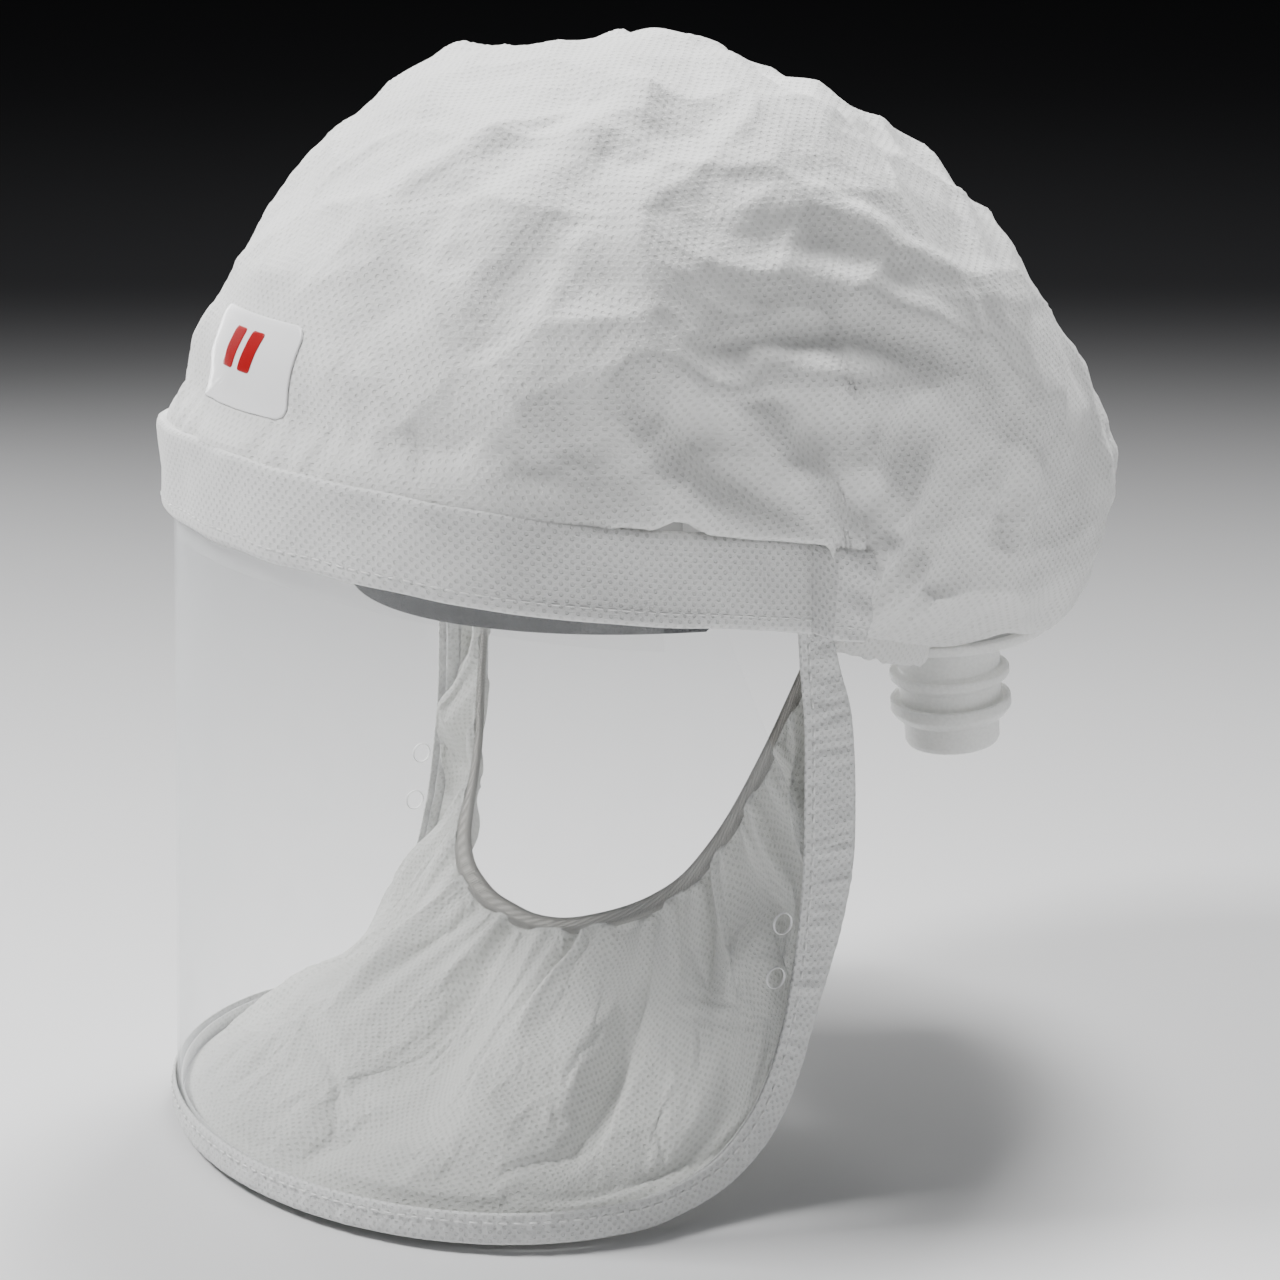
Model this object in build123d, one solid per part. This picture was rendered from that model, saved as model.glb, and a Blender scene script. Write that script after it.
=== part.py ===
from build123d import *
import math
import os

# Loose-fitting hood of a powered air respirator, with its clear visor, head suspension, air duct and hose connector.
# Millimetres. Origin at the centre of the headband ring, +Z up, the wearer faces -Y and the wearer's left is +X.

os.makedirs("parts", exist_ok=True)

# Visor: a U in plan, straight sides and a half-ellipse nose, flaring a little towards the bottom
VISOR_HALF_WIDTH = 89.8
VISOR_NOSE_DEPTH = 69.6
VISOR_NOSE_Y = -78.5
VISOR_FLARE = 6.0
VISOR_SHEET = 0.7
U_TOP_Z = 34.0
U_BOTTOM_Z = -180.0
U_END_Y = 6.0
VISOR_OUTLINE = [(-162, 25), (-56, 7), (-50, -17), (-23.5, -78), (-22, -95), (-24, -110), (-28, -125),
                 (-34, -140), (-43, -153), (-57, -166), (-74, -171.5), (-162, -172)]
VISOR_HOLES = [(-32.5, -100), (-35, -115)]
VISOR_HOLE_R = 2.9

# Brow band: the folded fabric band over the visor's top edge. It drops towards the ears.
BAND_SLOPE = -0.19
BAND_FRONT_Y = -148.0
BAND_HEM_Z = 2.8
BAND_HEIGHT = 26.3
BAND_END_Y = -24.0
BAND_INNER, BAND_OUTER = 2.3, 3.6

# Binding tape round the visor's sides and bottom
TAPE_INNER, TAPE_OUTER = 0.9, 2.1
TAPE_REAR = [(-18, -12), (-13, -32), (-8.5, -55), (-8.3, -84), (-15, -111), (-23, -130), (-31, -152)]
TAPE_CORNER = [(-31, -152), (-40, -163), (-54.5, -172), (-75, -176.5)]
TAPE_FRONT = [(-28, -12), (-25.5, -47), (-26, -80), (-28, -98), (-30, -125), (-38, -145)]
TAPE_CORNER_INNER = [(-38, -145), (-47, -156), (-60, -164.5), (-76, -167.5)]
TAPE_BOTTOM_Z, TAPE_BOTTOM_TOP_Z = -176.5, -167.5

# Hood: closed sections of the crown and of the panel under the nape, which closes on the connector
# z, front y, rear y, half width, half width at the brow, centre of the front curve, centre of the rear curve
NAPE_SECTIONS = [
    (-54, 68, 132, 32, 32, 100, 100),
    (-38, 16, 134, 76, 74, 56, 60),
    (-20, -24, 133, 99, 97, 10, 20),
]
CROWN_SECTIONS = [
    (-20, -152.2, 133, 99, 94.0, -78.5, 20),
    (6, -152.2, 133, 103.5, 94.0, -78.5, 15),
    (32, -151.8, 121, 104.5, 93.5, -78.5, 12),
    (60, -137, 101, 101, 90, -66, 4),
    (85, -120, 76, 91, 80, -54, -4),
    (105, -101, 50, 75, 66, -44, -14),
    (120, -78, 24, 51, 46, -36, -22),
    (131, -38, -8, 14, 14, -23, -23),
]
HOOD_SHEET = 1.4
HOOD_ARC_POINTS, HOOD_SIDE_GAP = 9, 8.0
EAR_Y = -6.0
NECK_HALF_X, NECK_HALF_Y, NECK_CENTRE_Y = 86.0, 73.5, -8.0

# Gathered casing and elastic round the nape, in a plane that drops towards the back
NAPE_EAR_Z, NAPE_BACK_Z = -27.0, -50.0
CASING_HEIGHT, CASING_THICK = 8.0, 3.2
ELASTIC_HEIGHT, ELASTIC_THICK = 3.0, 1.2

# Face seal: elastic from the chin's middle to the ear (left half), and the hem that each station is joined to
FACE_SEAL = [(0, -57, -118), (14, -56.5, -117), (27, -54.5, -113.5), (38, -49.5, -109), (47, -43, -103.5),
             (54, -37, -96), (60, -31.5, -85), (66, -27, -72), (74, -20.5, -50), (84, -14, -22)]
SKIRT_NOSE_ANGLES = [90, 70, 50, 32, 12]
SKIRT_SIDE = [(-62, -164), (-42, -146), (-33, -120), (-28, -85), (-26, -52), (-24, -24)]
SKIRT_NOSE_Z = -170.0
SKIRT_INSET = 2.4
SKIRT_SHEET = 1.2
SEAL_WIDTH, SEAL_THICK = 6.0, 1.8

# Suspension: the headband is an ellipse in front, straight at the ears and an ellipse behind
RING_HALF_X, RING_FRONT, RING_REAR = 80.0, 100.0, 60.0
RING_STRAIGHT = 40.0
PAD_IN, PAD_OUT = -3.5, 1.5
PAD_Z = (-21.6, 18.0)
PAD_END_Y = -34.0
FRONT_BAND = (1.8, 3.3)
FRONT_BAND_Z = (-14.0, 18.0)
FRONT_BAND_END_Y = 28.0
LUG_HALF_X, LUG_TOP_Z = 14.0, 36.0
CRADLE = (3.6, 5.1)
CRADLE_Z = (-4.0, 14.0)
CRADLE_ARM_Y = 5.0
NAPE_PAD = (-1.7, 3.3)
NAPE_PAD_START_Y = 78.0

# Adjusters: pegs and studs in slots. The cradle slides in Y and the crown straps slide in Z.
CRADLE_TRAVEL = (-14.0, 5.0)
STRAP_TRAVEL = (-15.0, 2.0)
PEG_R, PEG_HEAD_R, PEG_HEAD = 2.5, 4.6, 1.4
SLOT_CLEARANCE = 0.3
PEG_Y, PEG_Z = 18.0, 5.0
STRAP_Y, STRAP_WIDTH, STRAP_SHEET = -24.0, 20.0, 1.5
SIDE_TAB_X, SIDE_TAB_Z, SIDE_ARCH_Z, SIDE_TOP_Z = 84.4, -3.0, 28.0, 99.0
SIDE_STUD_Z = 6.0
FRONT_TAB_Y, FRONT_TAB_Z, FRONT_ARCH_Z, FRONT_TOP_Z = -105.2, 12.0, 46.0, 101.3
FRONT_STRAP_WIDTH, FRONT_STUD_Z = 18.0, 24.0
BUTTON_R, BUTTON_SHANK_R, BUTTON_HEAD = 7.0, 2.0, 1.0
CROWN_PAD_HALF_X, CROWN_PAD_THICK = 32.0, 3.0

# Spacers that hold the visor off the temples
SPACER_Y, SPACER_LENGTH, SPACER_Z, SPACER_HEIGHT = -44.0, 14.0, 2.0, 20.0
RIVET_R, RIVET_HEAD_R = 1.8, 4.0

# Connector, in its own frame: the flange's top is at zero, the hose goes on below
CONNECTOR_Y, CONNECTOR_Z, CONNECTOR_TILT = 100.0, -54.95, 5.0
FLANGE_R, FLANGE_THICK = 32.0, 3.0
SHOULDER_R, SHOULDER_Z = 20.3, -6.0
BODY_R, SPIGOT_R, BORE_R, THROAT_R = 15.7, 14.65, 12.5, 17.0
THROAT_TOP, SPIGOT_TOP, SPIGOT_END = 14.0, -32.5, -41.0
RIB_R, RIB_ONE_Z, RIB_TWO_Z = 18.5, -18.0, -28.6
GASKET_THICK, CLAMP_Z, CLAMP_THICK, CLAMP_R = 0.8, 2.4, 2.4, 29.0
SCREW_PCD_R, SCREW_R, SCREW_HEAD_R, SCREW_HEAD, SCREW_DEPTH = 23.5, 1.4, 2.8, 1.6, 2.0
BOOT_WALL, BOOT_BASE, BOOT_GAP = 1.5, 5.4, 1.3
CLIP_Z, CLIP_WIDTH, CLIP_THICK = 9.5, 5.0, 1.0

# Air duct: a flat channel up the back of the head and over the crown to the brow (y, z)
DUCT_PATH = [(121, -8), (118.5, 12), (107, 34), (85.5, 60), (58.5, 83), (28, 102), (-6, 110.5), (-44, 109.5),
             (-80, 98.5), (-108, 75), (-122, 46)]
DUCT_HALF_X, DUCT_HALF_T, DUCT_WALL = 25.0, 5.5, 1.2
DUCT_STEPS = 24
LIP_LENGTH, LIP_DROP = 12.0, 3.0
BRACKET_X, BRACKET_THICK = 18.0, 3.0
BRACKET_OUTLINE = [(-100, 4), (-100, 17.5), (-111, 52), (-119, 44), (-106, 4)]

LABEL_HALF_X, LABEL_Z, LABEL_HALF_Z, LABEL_CORNER = 22.0, 50.0, 15.0, 5.0
WIDE = 140.0


def side_prism(points, half_width=WIDE, centre_x=0.0):
    """Side outline (y, z) extruded in both directions along X."""
    face = Plane.YZ * make_face(Polyline(*points, close=True))
    return Pos(centre_x, 0, 0) * extrude(face, half_width, both=True)


def slab(low_z, high_z):
    """Everything between two heights."""
    return side_prism([(-200, low_z), (200, low_z), (200, high_z), (-200, high_z)])


def u_face(grow, z):
    """Visor's plan grown by some amount, closed across the back."""
    half = VISOR_HALF_WIDTH + grow
    nose = EllipticalCenterArc((0, VISOR_NOSE_Y), half, VISOR_NOSE_DEPTH + grow, 180, arc_size=180)
    left = Line((half, VISOR_NOSE_Y), (half, U_END_Y))
    back = Line((half, U_END_Y), (-half, U_END_Y))
    right = Line((-half, U_END_Y), (-half, VISOR_NOSE_Y))
    return Pos(0, 0, z) * Face(Wire([nose, left, back, right]))


def u_block(offset):
    """Solid inside the visor's surface, moved out by offset."""
    return loft([u_face(offset + VISOR_FLARE, U_BOTTOM_Z), u_face(offset, U_TOP_Z)], ruled=True)


def u_wall(inner, outer):
    return u_block(outer) - u_block(inner)


def flare_at(z):
    return VISOR_FLARE * (U_TOP_Z - z) / (U_TOP_Z - U_BOTTOM_Z)


def hem_z(y):
    return BAND_HEM_Z + BAND_SLOPE * (y - BAND_FRONT_Y)


def ridge_z(y):
    return hem_z(y) + BAND_HEIGHT


def make_visor():
    sheet = u_wall(0, VISOR_SHEET) & side_prism(VISOR_OUTLINE)
    for y, z in VISOR_HOLES:
        sheet -= x_cylinder(VISOR_HOLE_R, -WIDE, WIDE, y, z)
    return sheet - x_cylinder(RIVET_R + 0.05, -WIDE, WIDE, SPACER_Y, SPACER_Z)


def make_brow_band():
    outline = [(-170, hem_z(-170)), (BAND_END_Y, hem_z(BAND_END_Y)),
               (BAND_END_Y, ridge_z(BAND_END_Y)), (-170, ridge_z(-170))]
    return u_wall(BAND_INNER, BAND_OUTER) & side_prism(outline)


def make_seal_strip():
    """Film strip inside the visor's top edge."""
    outline = [(-170, hem_z(-170) - 6), (-70, hem_z(-70) - 6), (-70, hem_z(-70) + 12), (-170, hem_z(-170) + 12)]
    return u_wall(-0.9, -0.2) & side_prism(outline)


def tape_face(edges):
    return Plane.YZ * Face(Wire(edges))


def make_side_tape(side):
    rear = Spline(*TAPE_REAR)
    front = Spline(*TAPE_FRONT)
    foot = Line(TAPE_REAR[-1], TAPE_FRONT[-1])
    head = Line(TAPE_FRONT[0], TAPE_REAR[0])
    prism = extrude(tape_face([rear, foot, front, head]), WIDE, both=True)
    prism &= Pos(side * WIDE / 2, 0, 0) * Box(WIDE, 500, 500)
    return u_wall(TAPE_INNER, TAPE_OUTER) & prism


def make_bottom_tape():
    outer = Spline(*TAPE_CORNER)
    inner = Spline(*TAPE_CORNER_INNER)
    start = Line(TAPE_CORNER[0], TAPE_CORNER_INNER[0])
    bottom = Polyline(TAPE_CORNER[-1], (-170, TAPE_BOTTOM_Z), (-170, TAPE_BOTTOM_TOP_Z), TAPE_CORNER_INNER[-1])
    prism = extrude(tape_face([start, outer, inner] + list(bottom.edges())), WIDE, both=True)
    return u_wall(TAPE_INNER, TAPE_OUTER) & prism


def hood_section(front, rear, half, brow_half, front_centre, rear_centre, inset):
    """Closed curve: a front half-ellipse and a rear half-ellipse on different centres."""
    points = []
    sweep = (180 - 2 * HOOD_SIDE_GAP) / (HOOD_ARC_POINTS - 1)
    for step in range(HOOD_ARC_POINTS):
        angle = math.radians(180 + HOOD_SIDE_GAP + sweep * step)
        points.append(((brow_half - inset) * math.cos(angle),
                       front_centre + (front_centre - front - inset) * math.sin(angle)))
    for step in range(HOOD_ARC_POINTS):
        angle = math.radians(HOOD_SIDE_GAP + sweep * step)
        points.append(((half - inset) * math.cos(angle),
                       rear_centre + (rear - inset - rear_centre) * math.sin(angle)))
    return Face(Wire([Spline(*points, periodic=True)]))


def crown_solid(inset):
    """Solid inside the crown's surface, moved in by inset."""
    faces = []
    for z, *shape in CROWN_SECTIONS:
        lift = -inset if z > 50 else 0.0
        faces.append(Pos(0, 0, z + lift) * hood_section(*shape, inset))
    return loft(faces)


def nape_solid(inset):
    """Solid inside the nape panel's surface. Its floor is tilted like the connector."""
    faces = []
    for z, *shape in NAPE_SECTIONS:
        face = hood_section(*shape, inset)
        if z == NAPE_SECTIONS[0][0]:
            face = Pos(0, CONNECTOR_Y, inset) * Rot(CONNECTOR_TILT, 0, 0) * Pos(0, -CONNECTOR_Y, 0) * face
        faces.append(Pos(0, 0, z) * face)
    return loft(faces, ruled=True)


def make_crown():
    """Crown of the hood, open below and cut away under the brow band's ridge."""
    below_ridge = [(-220, ridge_z(-220) + 0.3), (BAND_END_Y + 0.3, ridge_z(BAND_END_Y) + 0.3),
                   (BAND_END_Y + 0.3, -90), (-220, -90)]
    return crown_solid(0) - crown_solid(HOOD_SHEET) - side_prism(below_ridge)


def make_nape_panel():
    """Panel from the crown's rear edge in to the neck opening and down to the connector's flange."""
    panel = nape_solid(0) - nape_solid(HOOD_SHEET)
    panel -= Pos(0, NECK_CENTRE_Y, -52) * extrude(Ellipse(NECK_HALF_X, NECK_HALF_Y), 40, both=True)
    panel -= connector_frame() * Cylinder(THROAT_R + 0.4, 20)
    for shaft in screw_shafts(SCREW_R + 0.1, -1, CLAMP_Z + 1):
        panel -= connector_frame() * shaft
    return panel


def make_label():
    """Thin patch on the front of the crown."""
    patch = make_face(Plane.XZ * RectangleRounded(2 * LABEL_HALF_X, 2 * LABEL_HALF_Z, LABEL_CORNER))
    prism = Pos(0, 0, LABEL_Z) * extrude(patch, 200)
    return (crown_solid(-0.8) & prism) - crown_solid(-0.2)


def make_nape(height, thick, outer_gap):
    """Ring wall just inside the neck opening, rear part only, cut by two sloping planes."""
    half_x = NECK_HALF_X - outer_gap
    half_y = NECK_HALF_Y - outer_gap
    outer = extrude(Ellipse(half_x, half_y), 60, both=True)
    inner = extrude(Ellipse(half_x - thick, half_y - thick), 60, both=True)
    ring = Pos(0, NECK_CENTRE_Y, -40) * (outer - inner)
    half = height / 2
    back_y = NECK_CENTRE_Y + NECK_HALF_Y
    outline = [(EAR_Y, NAPE_EAR_Z - half), (back_y, NAPE_BACK_Z - half),
               (back_y, NAPE_BACK_Z + half), (EAR_Y, NAPE_EAR_Z + half)]
    return ring & side_prism(outline)


def make_nape_elastic():
    gap = 0.3 + (CASING_THICK - ELASTIC_THICK) / 2
    return make_nape(ELASTIC_HEIGHT, ELASTIC_THICK, gap)


def make_nape_casing():
    return make_nape(CASING_HEIGHT, CASING_THICK, 0.3) - make_nape_elastic()


def hem_stations():
    """Points inside the visor's edge that the skirt hangs between, from the nose to the ear."""
    stations = []
    grow = flare_at(SKIRT_NOSE_Z) - SKIRT_INSET
    for angle in SKIRT_NOSE_ANGLES:
        turn = math.radians(angle)
        x = (VISOR_HALF_WIDTH + grow) * math.cos(turn)
        y = VISOR_NOSE_Y - (VISOR_NOSE_DEPTH + grow) * math.sin(turn)
        stations.append(Vector(x, y, SKIRT_NOSE_Z))
    for y, z in SKIRT_SIDE:
        stations.append(Vector(VISOR_HALF_WIDTH + flare_at(z) - SKIRT_INSET, y, z))
    return stations


def face_seal_stations():
    """Elastic and hem points paired from the right ear round to the left ear."""
    seal_line = Spline(*FACE_SEAL, tangents=[(1, 0, 0), (0.7, 0.5, 2)])
    hems = hem_stations()
    count = len(hems)
    left = [(seal_line.position_at(i / (count - 1)), hem) for i, hem in enumerate(hems)]
    right = [(Vector(-a.X, a.Y, a.Z), Vector(-b.X, b.Y, b.Z)) for a, b in left[1:]]
    return right[::-1] + left


def ribbon(start, end, thick):
    """Loft of thin quads between two distances along each seal-to-hem line; end None means all the way."""
    stations = face_seal_stations()
    quads = []
    for i, (seal, hem) in enumerate(stations):
        across = hem - seal
        reach = across.length if end is None else end
        across = across.normalized()
        before = stations[max(i - 1, 0)]
        after = stations[min(i + 1, len(stations) - 1)]
        along = (after[0] + after[1]) - (before[0] + before[1])
        normal = across.cross(along).normalized() * (thick / 2)
        near = seal + across * start
        far = seal + across * reach
        quads.append(Face(Wire.make_polygon([near + normal, far + normal, far - normal, near - normal])))
    return loft(quads, ruled=True)


def ring_face(offset):
    """Headband's plan: front half-ellipse, straight sides, rear half-ellipse."""
    half = RING_HALF_X + offset
    front = EllipticalCenterArc((0, 0), half, RING_FRONT + offset, 180, arc_size=180)
    left = Line((half, 0), (half, RING_STRAIGHT))
    rear = EllipticalCenterArc((0, RING_STRAIGHT), half, RING_REAR + offset, 0, arc_size=180)
    right = Line((-half, RING_STRAIGHT), (-half, 0))
    return Face(Wire([front, left, rear, right]))


def ring_wall(offsets, heights):
    inner, outer = offsets
    low, high = heights
    ring = extrude(ring_face(outer), high - low) - extrude(ring_face(inner), high - low)
    return Pos(0, 0, low) * ring


def y_range(low, high):
    return side_prism([(low, -200), (high, -200), (high, 200), (low, 200)])


def x_cylinder(radius, x_low, x_high, y, z):
    """Cylinder along X, given by its two ends."""
    return Pos((x_low + x_high) / 2, y, z) * Rot(0, 90, 0) * Cylinder(radius, x_high - x_low)


def y_cylinder(radius, y_low, y_high, x, z):
    return Pos(x, (y_low + y_high) / 2, z) * Rot(90, 0, 0) * Cylinder(radius, y_high - y_low)


def make_front_band():
    band = ring_wall(FRONT_BAND, FRONT_BAND_Z) & y_range(-120, FRONT_BAND_END_Y)
    lug = ring_wall(FRONT_BAND, (FRONT_BAND_Z[0], LUG_TOP_Z))
    lug &= Pos(0, -100, 0) * Box(2 * LUG_HALF_X, 30, 200)
    return band + lug


def make_comfort_pad():
    return ring_wall((PAD_IN, PAD_OUT), PAD_Z) & y_range(-120, PAD_END_Y)


def make_cradle():
    band = ring_wall(CRADLE, CRADLE_Z) & y_range(CRADLE_ARM_Y, 130)
    slot_r = PEG_R + SLOT_CLEARANCE
    slot_low = PEG_Y - CRADLE_TRAVEL[1] - slot_r
    slot_high = PEG_Y - CRADLE_TRAVEL[0] + slot_r
    slot = Pos(0, (slot_low + slot_high) / 2, PEG_Z) * Box(2 * WIDE, slot_high - slot_low, 2 * slot_r)
    slot = fillet(slot.edges().filter_by(Axis.X), slot_r - 0.01)
    return band - slot


def make_nape_pad():
    return ring_wall(NAPE_PAD, CRADLE_Z) & y_range(NAPE_PAD_START_Y, 130)


def make_adjuster_pegs():
    root = RING_HALF_X + FRONT_BAND[1] - 1.0
    arm_out = RING_HALF_X + CRADLE[1] + SLOT_CLEARANCE
    pegs = []
    for side in (-1, 1):
        shank = x_cylinder(PEG_R, root, arm_out, PEG_Y, PEG_Z)
        head = x_cylinder(PEG_HEAD_R, arm_out, arm_out + PEG_HEAD, PEG_Y, PEG_Z)
        peg = shank + head
        pegs.append(peg if side > 0 else peg.mirror(Plane.YZ))
    return Compound(children=[solid for peg in pegs for solid in peg.solids()])


def make_side_strap():
    """Strap over the crown with an upright slotted tab at each temple."""
    def arch(inset):
        half = SIDE_TAB_X - inset
        top = EllipticalCenterArc((0, SIDE_ARCH_Z), half, SIDE_TOP_Z - SIDE_ARCH_Z - inset, 0, arc_size=180)
        left = Line((half, SIDE_TAB_Z), (half, SIDE_ARCH_Z))
        right = Line((-half, SIDE_ARCH_Z), (-half, SIDE_TAB_Z))
        foot = Line((-half, SIDE_TAB_Z), (half, SIDE_TAB_Z))
        return Plane.XZ * Face(Wire([left, top, right, foot]))
    strap = extrude(arch(0), STRAP_WIDTH / 2, both=True) - extrude(arch(STRAP_SHEET), STRAP_WIDTH, both=True)
    strap = Pos(0, STRAP_Y, 0) * strap
    slot_r = PEG_R + SLOT_CLEARANCE
    low = SIDE_STUD_Z - STRAP_TRAVEL[1] - slot_r
    high = SIDE_STUD_Z - STRAP_TRAVEL[0] + slot_r
    slot = Pos(0, STRAP_Y, (low + high) / 2) * Box(2 * WIDE, 2 * slot_r, high - low)
    slot = fillet(slot.edges().filter_by(Axis.X), slot_r - 0.01)
    hole = Pos(0, STRAP_Y, SIDE_TOP_Z) * Cylinder(BUTTON_SHANK_R + 0.1, 20)
    return strap - slot - hole


def make_front_strap():
    """Strap from the forehead tab back to the crown button."""
    def arch(inset):
        top_z = FRONT_TOP_Z - inset
        front_y = FRONT_TAB_Y + inset
        tab = Line((front_y, FRONT_TAB_Z), (front_y, FRONT_ARCH_Z))
        bend = EllipticalCenterArc((STRAP_Y, FRONT_ARCH_Z), STRAP_Y - front_y, top_z - FRONT_ARCH_Z, 90, arc_size=90)
        end = Line((STRAP_Y, top_z), (STRAP_Y + STRAP_WIDTH / 2, top_z))
        return tab, bend, end
    outer = arch(0)
    inner = arch(STRAP_SHEET)
    foot = Line(outer[0] @ 0, inner[0] @ 0)
    tip = Line(outer[2] @ 1, inner[2] @ 1)
    face = Plane.YZ * Face(Wire(list(outer) + list(inner) + [foot, tip]))
    strap = extrude(face, FRONT_STRAP_WIDTH / 2, both=True)
    slot_r = PEG_R + SLOT_CLEARANCE
    low = FRONT_STUD_Z - STRAP_TRAVEL[1] - slot_r
    high = FRONT_STUD_Z - STRAP_TRAVEL[0] + slot_r
    slot = Pos(0, FRONT_TAB_Y, (low + high) / 2) * Box(2 * slot_r, 20, high - low)
    slot = fillet(slot.edges().filter_by(Axis.Y), slot_r - 0.01)
    hole = Pos(0, STRAP_Y, FRONT_TOP_Z) * Cylinder(BUTTON_SHANK_R + 0.1, 20)
    return strap - slot - hole


def make_strap_studs():
    """Mushroom studs on the front band: one at each temple and one at the forehead."""
    root = RING_HALF_X + FRONT_BAND[1] - 4.5
    side = x_cylinder(PEG_R, root, SIDE_TAB_X + SLOT_CLEARANCE, STRAP_Y, SIDE_STUD_Z)
    side += x_cylinder(PEG_HEAD_R, SIDE_TAB_X + SLOT_CLEARANCE, SIDE_TAB_X + SLOT_CLEARANCE + PEG_HEAD,
                       STRAP_Y, SIDE_STUD_Z)
    side -= extrude(ring_face(FRONT_BAND[0] + 0.3), 60)
    face_y = FRONT_TAB_Y - SLOT_CLEARANCE
    front = y_cylinder(PEG_R, face_y, -RING_FRONT - FRONT_BAND[1] + 1.0, 0, FRONT_STUD_Z)
    front += y_cylinder(PEG_HEAD_R, face_y - PEG_HEAD, face_y, 0, FRONT_STUD_Z)
    studs = side.solids() + side.mirror(Plane.YZ).solids() + front.solids()
    return Compound(children=studs)


def make_crown_button():
    low = SIDE_TOP_Z - STRAP_SHEET
    shank = Pos(0, STRAP_Y, (low + FRONT_TOP_Z) / 2) * Cylinder(BUTTON_SHANK_R, FRONT_TOP_Z - low)
    cap = Pos(0, STRAP_Y, FRONT_TOP_Z + BUTTON_HEAD / 2) * Cylinder(BUTTON_R, BUTTON_HEAD)
    return shank + cap


def make_crown_pad():
    """Foam under the side strap at the crown."""
    def arch(inset):
        return Ellipse(SIDE_TAB_X - inset, SIDE_TOP_Z - SIDE_ARCH_Z - inset)
    gap = STRAP_SHEET + 0.2
    ring = arch(gap) - arch(gap + CROWN_PAD_THICK)
    pad = Pos(0, STRAP_Y, SIDE_ARCH_Z) * extrude(Plane.XZ * ring, STRAP_WIDTH / 2, both=True)
    return pad & Pos(0, STRAP_Y, SIDE_TOP_Z) * Box(2 * CROWN_PAD_HALF_X, 60, 60)


def make_spacer(side):
    """Block between the headband and the visor at one temple, with the rivet's hole."""
    block = Pos(side * 84, SPACER_Y, SPACER_Z) * Box(30, SPACER_LENGTH, SPACER_HEIGHT)
    block &= u_block(-0.05)
    block -= Pos(0, 0, -60) * extrude(ring_face(FRONT_BAND[1] + 0.05), 120)
    return block - make_rivet(side, 0.05)


def make_rivet(side, grow=0.0):
    surface = VISOR_HALF_WIDTH + flare_at(SPACER_Z) + VISOR_SHEET + 0.1
    shank = x_cylinder(RIVET_R + grow, surface - 9, surface, SPACER_Y, SPACER_Z)
    head = x_cylinder(RIVET_HEAD_R, surface, surface + 1.0, SPACER_Y, SPACER_Z)
    rivet = shank if grow else shank + head
    return rivet if side > 0 else rivet.mirror(Plane.YZ)


def make_rivets():
    return Compound(children=make_rivet(-1).solids() + make_rivet(1).solids())


def connector_frame():
    """Frame on the flange's top: +Z up into the hood, tilted so that the spigot leans back."""
    return Pos(0, CONNECTOR_Y, CONNECTOR_Z) * Rot(CONNECTOR_TILT, 0, 0)


def make_connector():
    """Moulded hose connector: throat, flange, shoulder, ribbed body and spigot round one bore."""
    profile = Polyline((BORE_R, THROAT_TOP), (THROAT_R, THROAT_TOP), (THROAT_R, 0), (FLANGE_R, 0),
                       (FLANGE_R, -FLANGE_THICK), (SHOULDER_R, -FLANGE_THICK), (SHOULDER_R, SHOULDER_Z),
                       (BODY_R, SHOULDER_Z), (BODY_R, RIB_ONE_Z + 1.2), (RIB_R, RIB_ONE_Z + 1.2),
                       (RIB_R, RIB_ONE_Z - 1.2), (BODY_R, RIB_ONE_Z - 2.4), (BODY_R, RIB_TWO_Z + 1.0),
                       (RIB_R - 1.2, RIB_TWO_Z + 1.6), (RIB_R - 1.2, RIB_TWO_Z + 2.6), (RIB_R, RIB_TWO_Z + 2.6),
                       (RIB_R, RIB_TWO_Z - 0.6), (RIB_R - 1.6, RIB_TWO_Z - 3.0), (SPIGOT_R, SPIGOT_TOP),
                       (SPIGOT_R, SPIGOT_END + 1.2), (SPIGOT_R - 1.0, SPIGOT_END), (BORE_R, SPIGOT_END), close=True)
    body = revolve(Plane.XZ * make_face(profile), Axis.Z)
    for angle in screw_angles():
        spot = Rot(0, 0, angle) * Pos(SCREW_PCD_R, 0, -SCREW_DEPTH / 2)
        body -= spot * Cylinder(SCREW_R, SCREW_DEPTH)
    return connector_frame() * body


def screw_angles():
    return [45 + 90 * step for step in range(4)]


def annulus(inner, outer, low, high):
    ring = Cylinder(outer, high - low) - Cylinder(inner, high - low)
    return Pos(0, 0, (low + high) / 2) * ring


def screw_shafts(radius, low, high):
    shaft = Pos(SCREW_PCD_R, 0, (low + high) / 2) * Cylinder(radius, high - low)
    return [Rot(0, 0, angle) * shaft for angle in screw_angles()]


def make_gasket():
    ring = annulus(THROAT_R + 0.2, CLAMP_R, 0, GASKET_THICK)
    for shaft in screw_shafts(SCREW_R + 0.1, -1, GASKET_THICK + 1):
        ring -= shaft
    return connector_frame() * ring


def make_clamp_ring():
    ring = annulus(THROAT_R + 0.2, CLAMP_R, CLAMP_Z, CLAMP_Z + CLAMP_THICK)
    for shaft in screw_shafts(SCREW_R + 0.1, CLAMP_Z - 1, CLAMP_Z + CLAMP_THICK + 1):
        ring -= shaft
    return connector_frame() * ring


def make_clamp_screws():
    top = CLAMP_Z + CLAMP_THICK
    screws = []
    for shaft, head in zip(screw_shafts(SCREW_R, -SCREW_DEPTH, top),
                           screw_shafts(SCREW_HEAD_R, top, top + SCREW_HEAD)):
        screws += (connector_frame() * (shaft + head)).solids()
    return Compound(children=screws)


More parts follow.
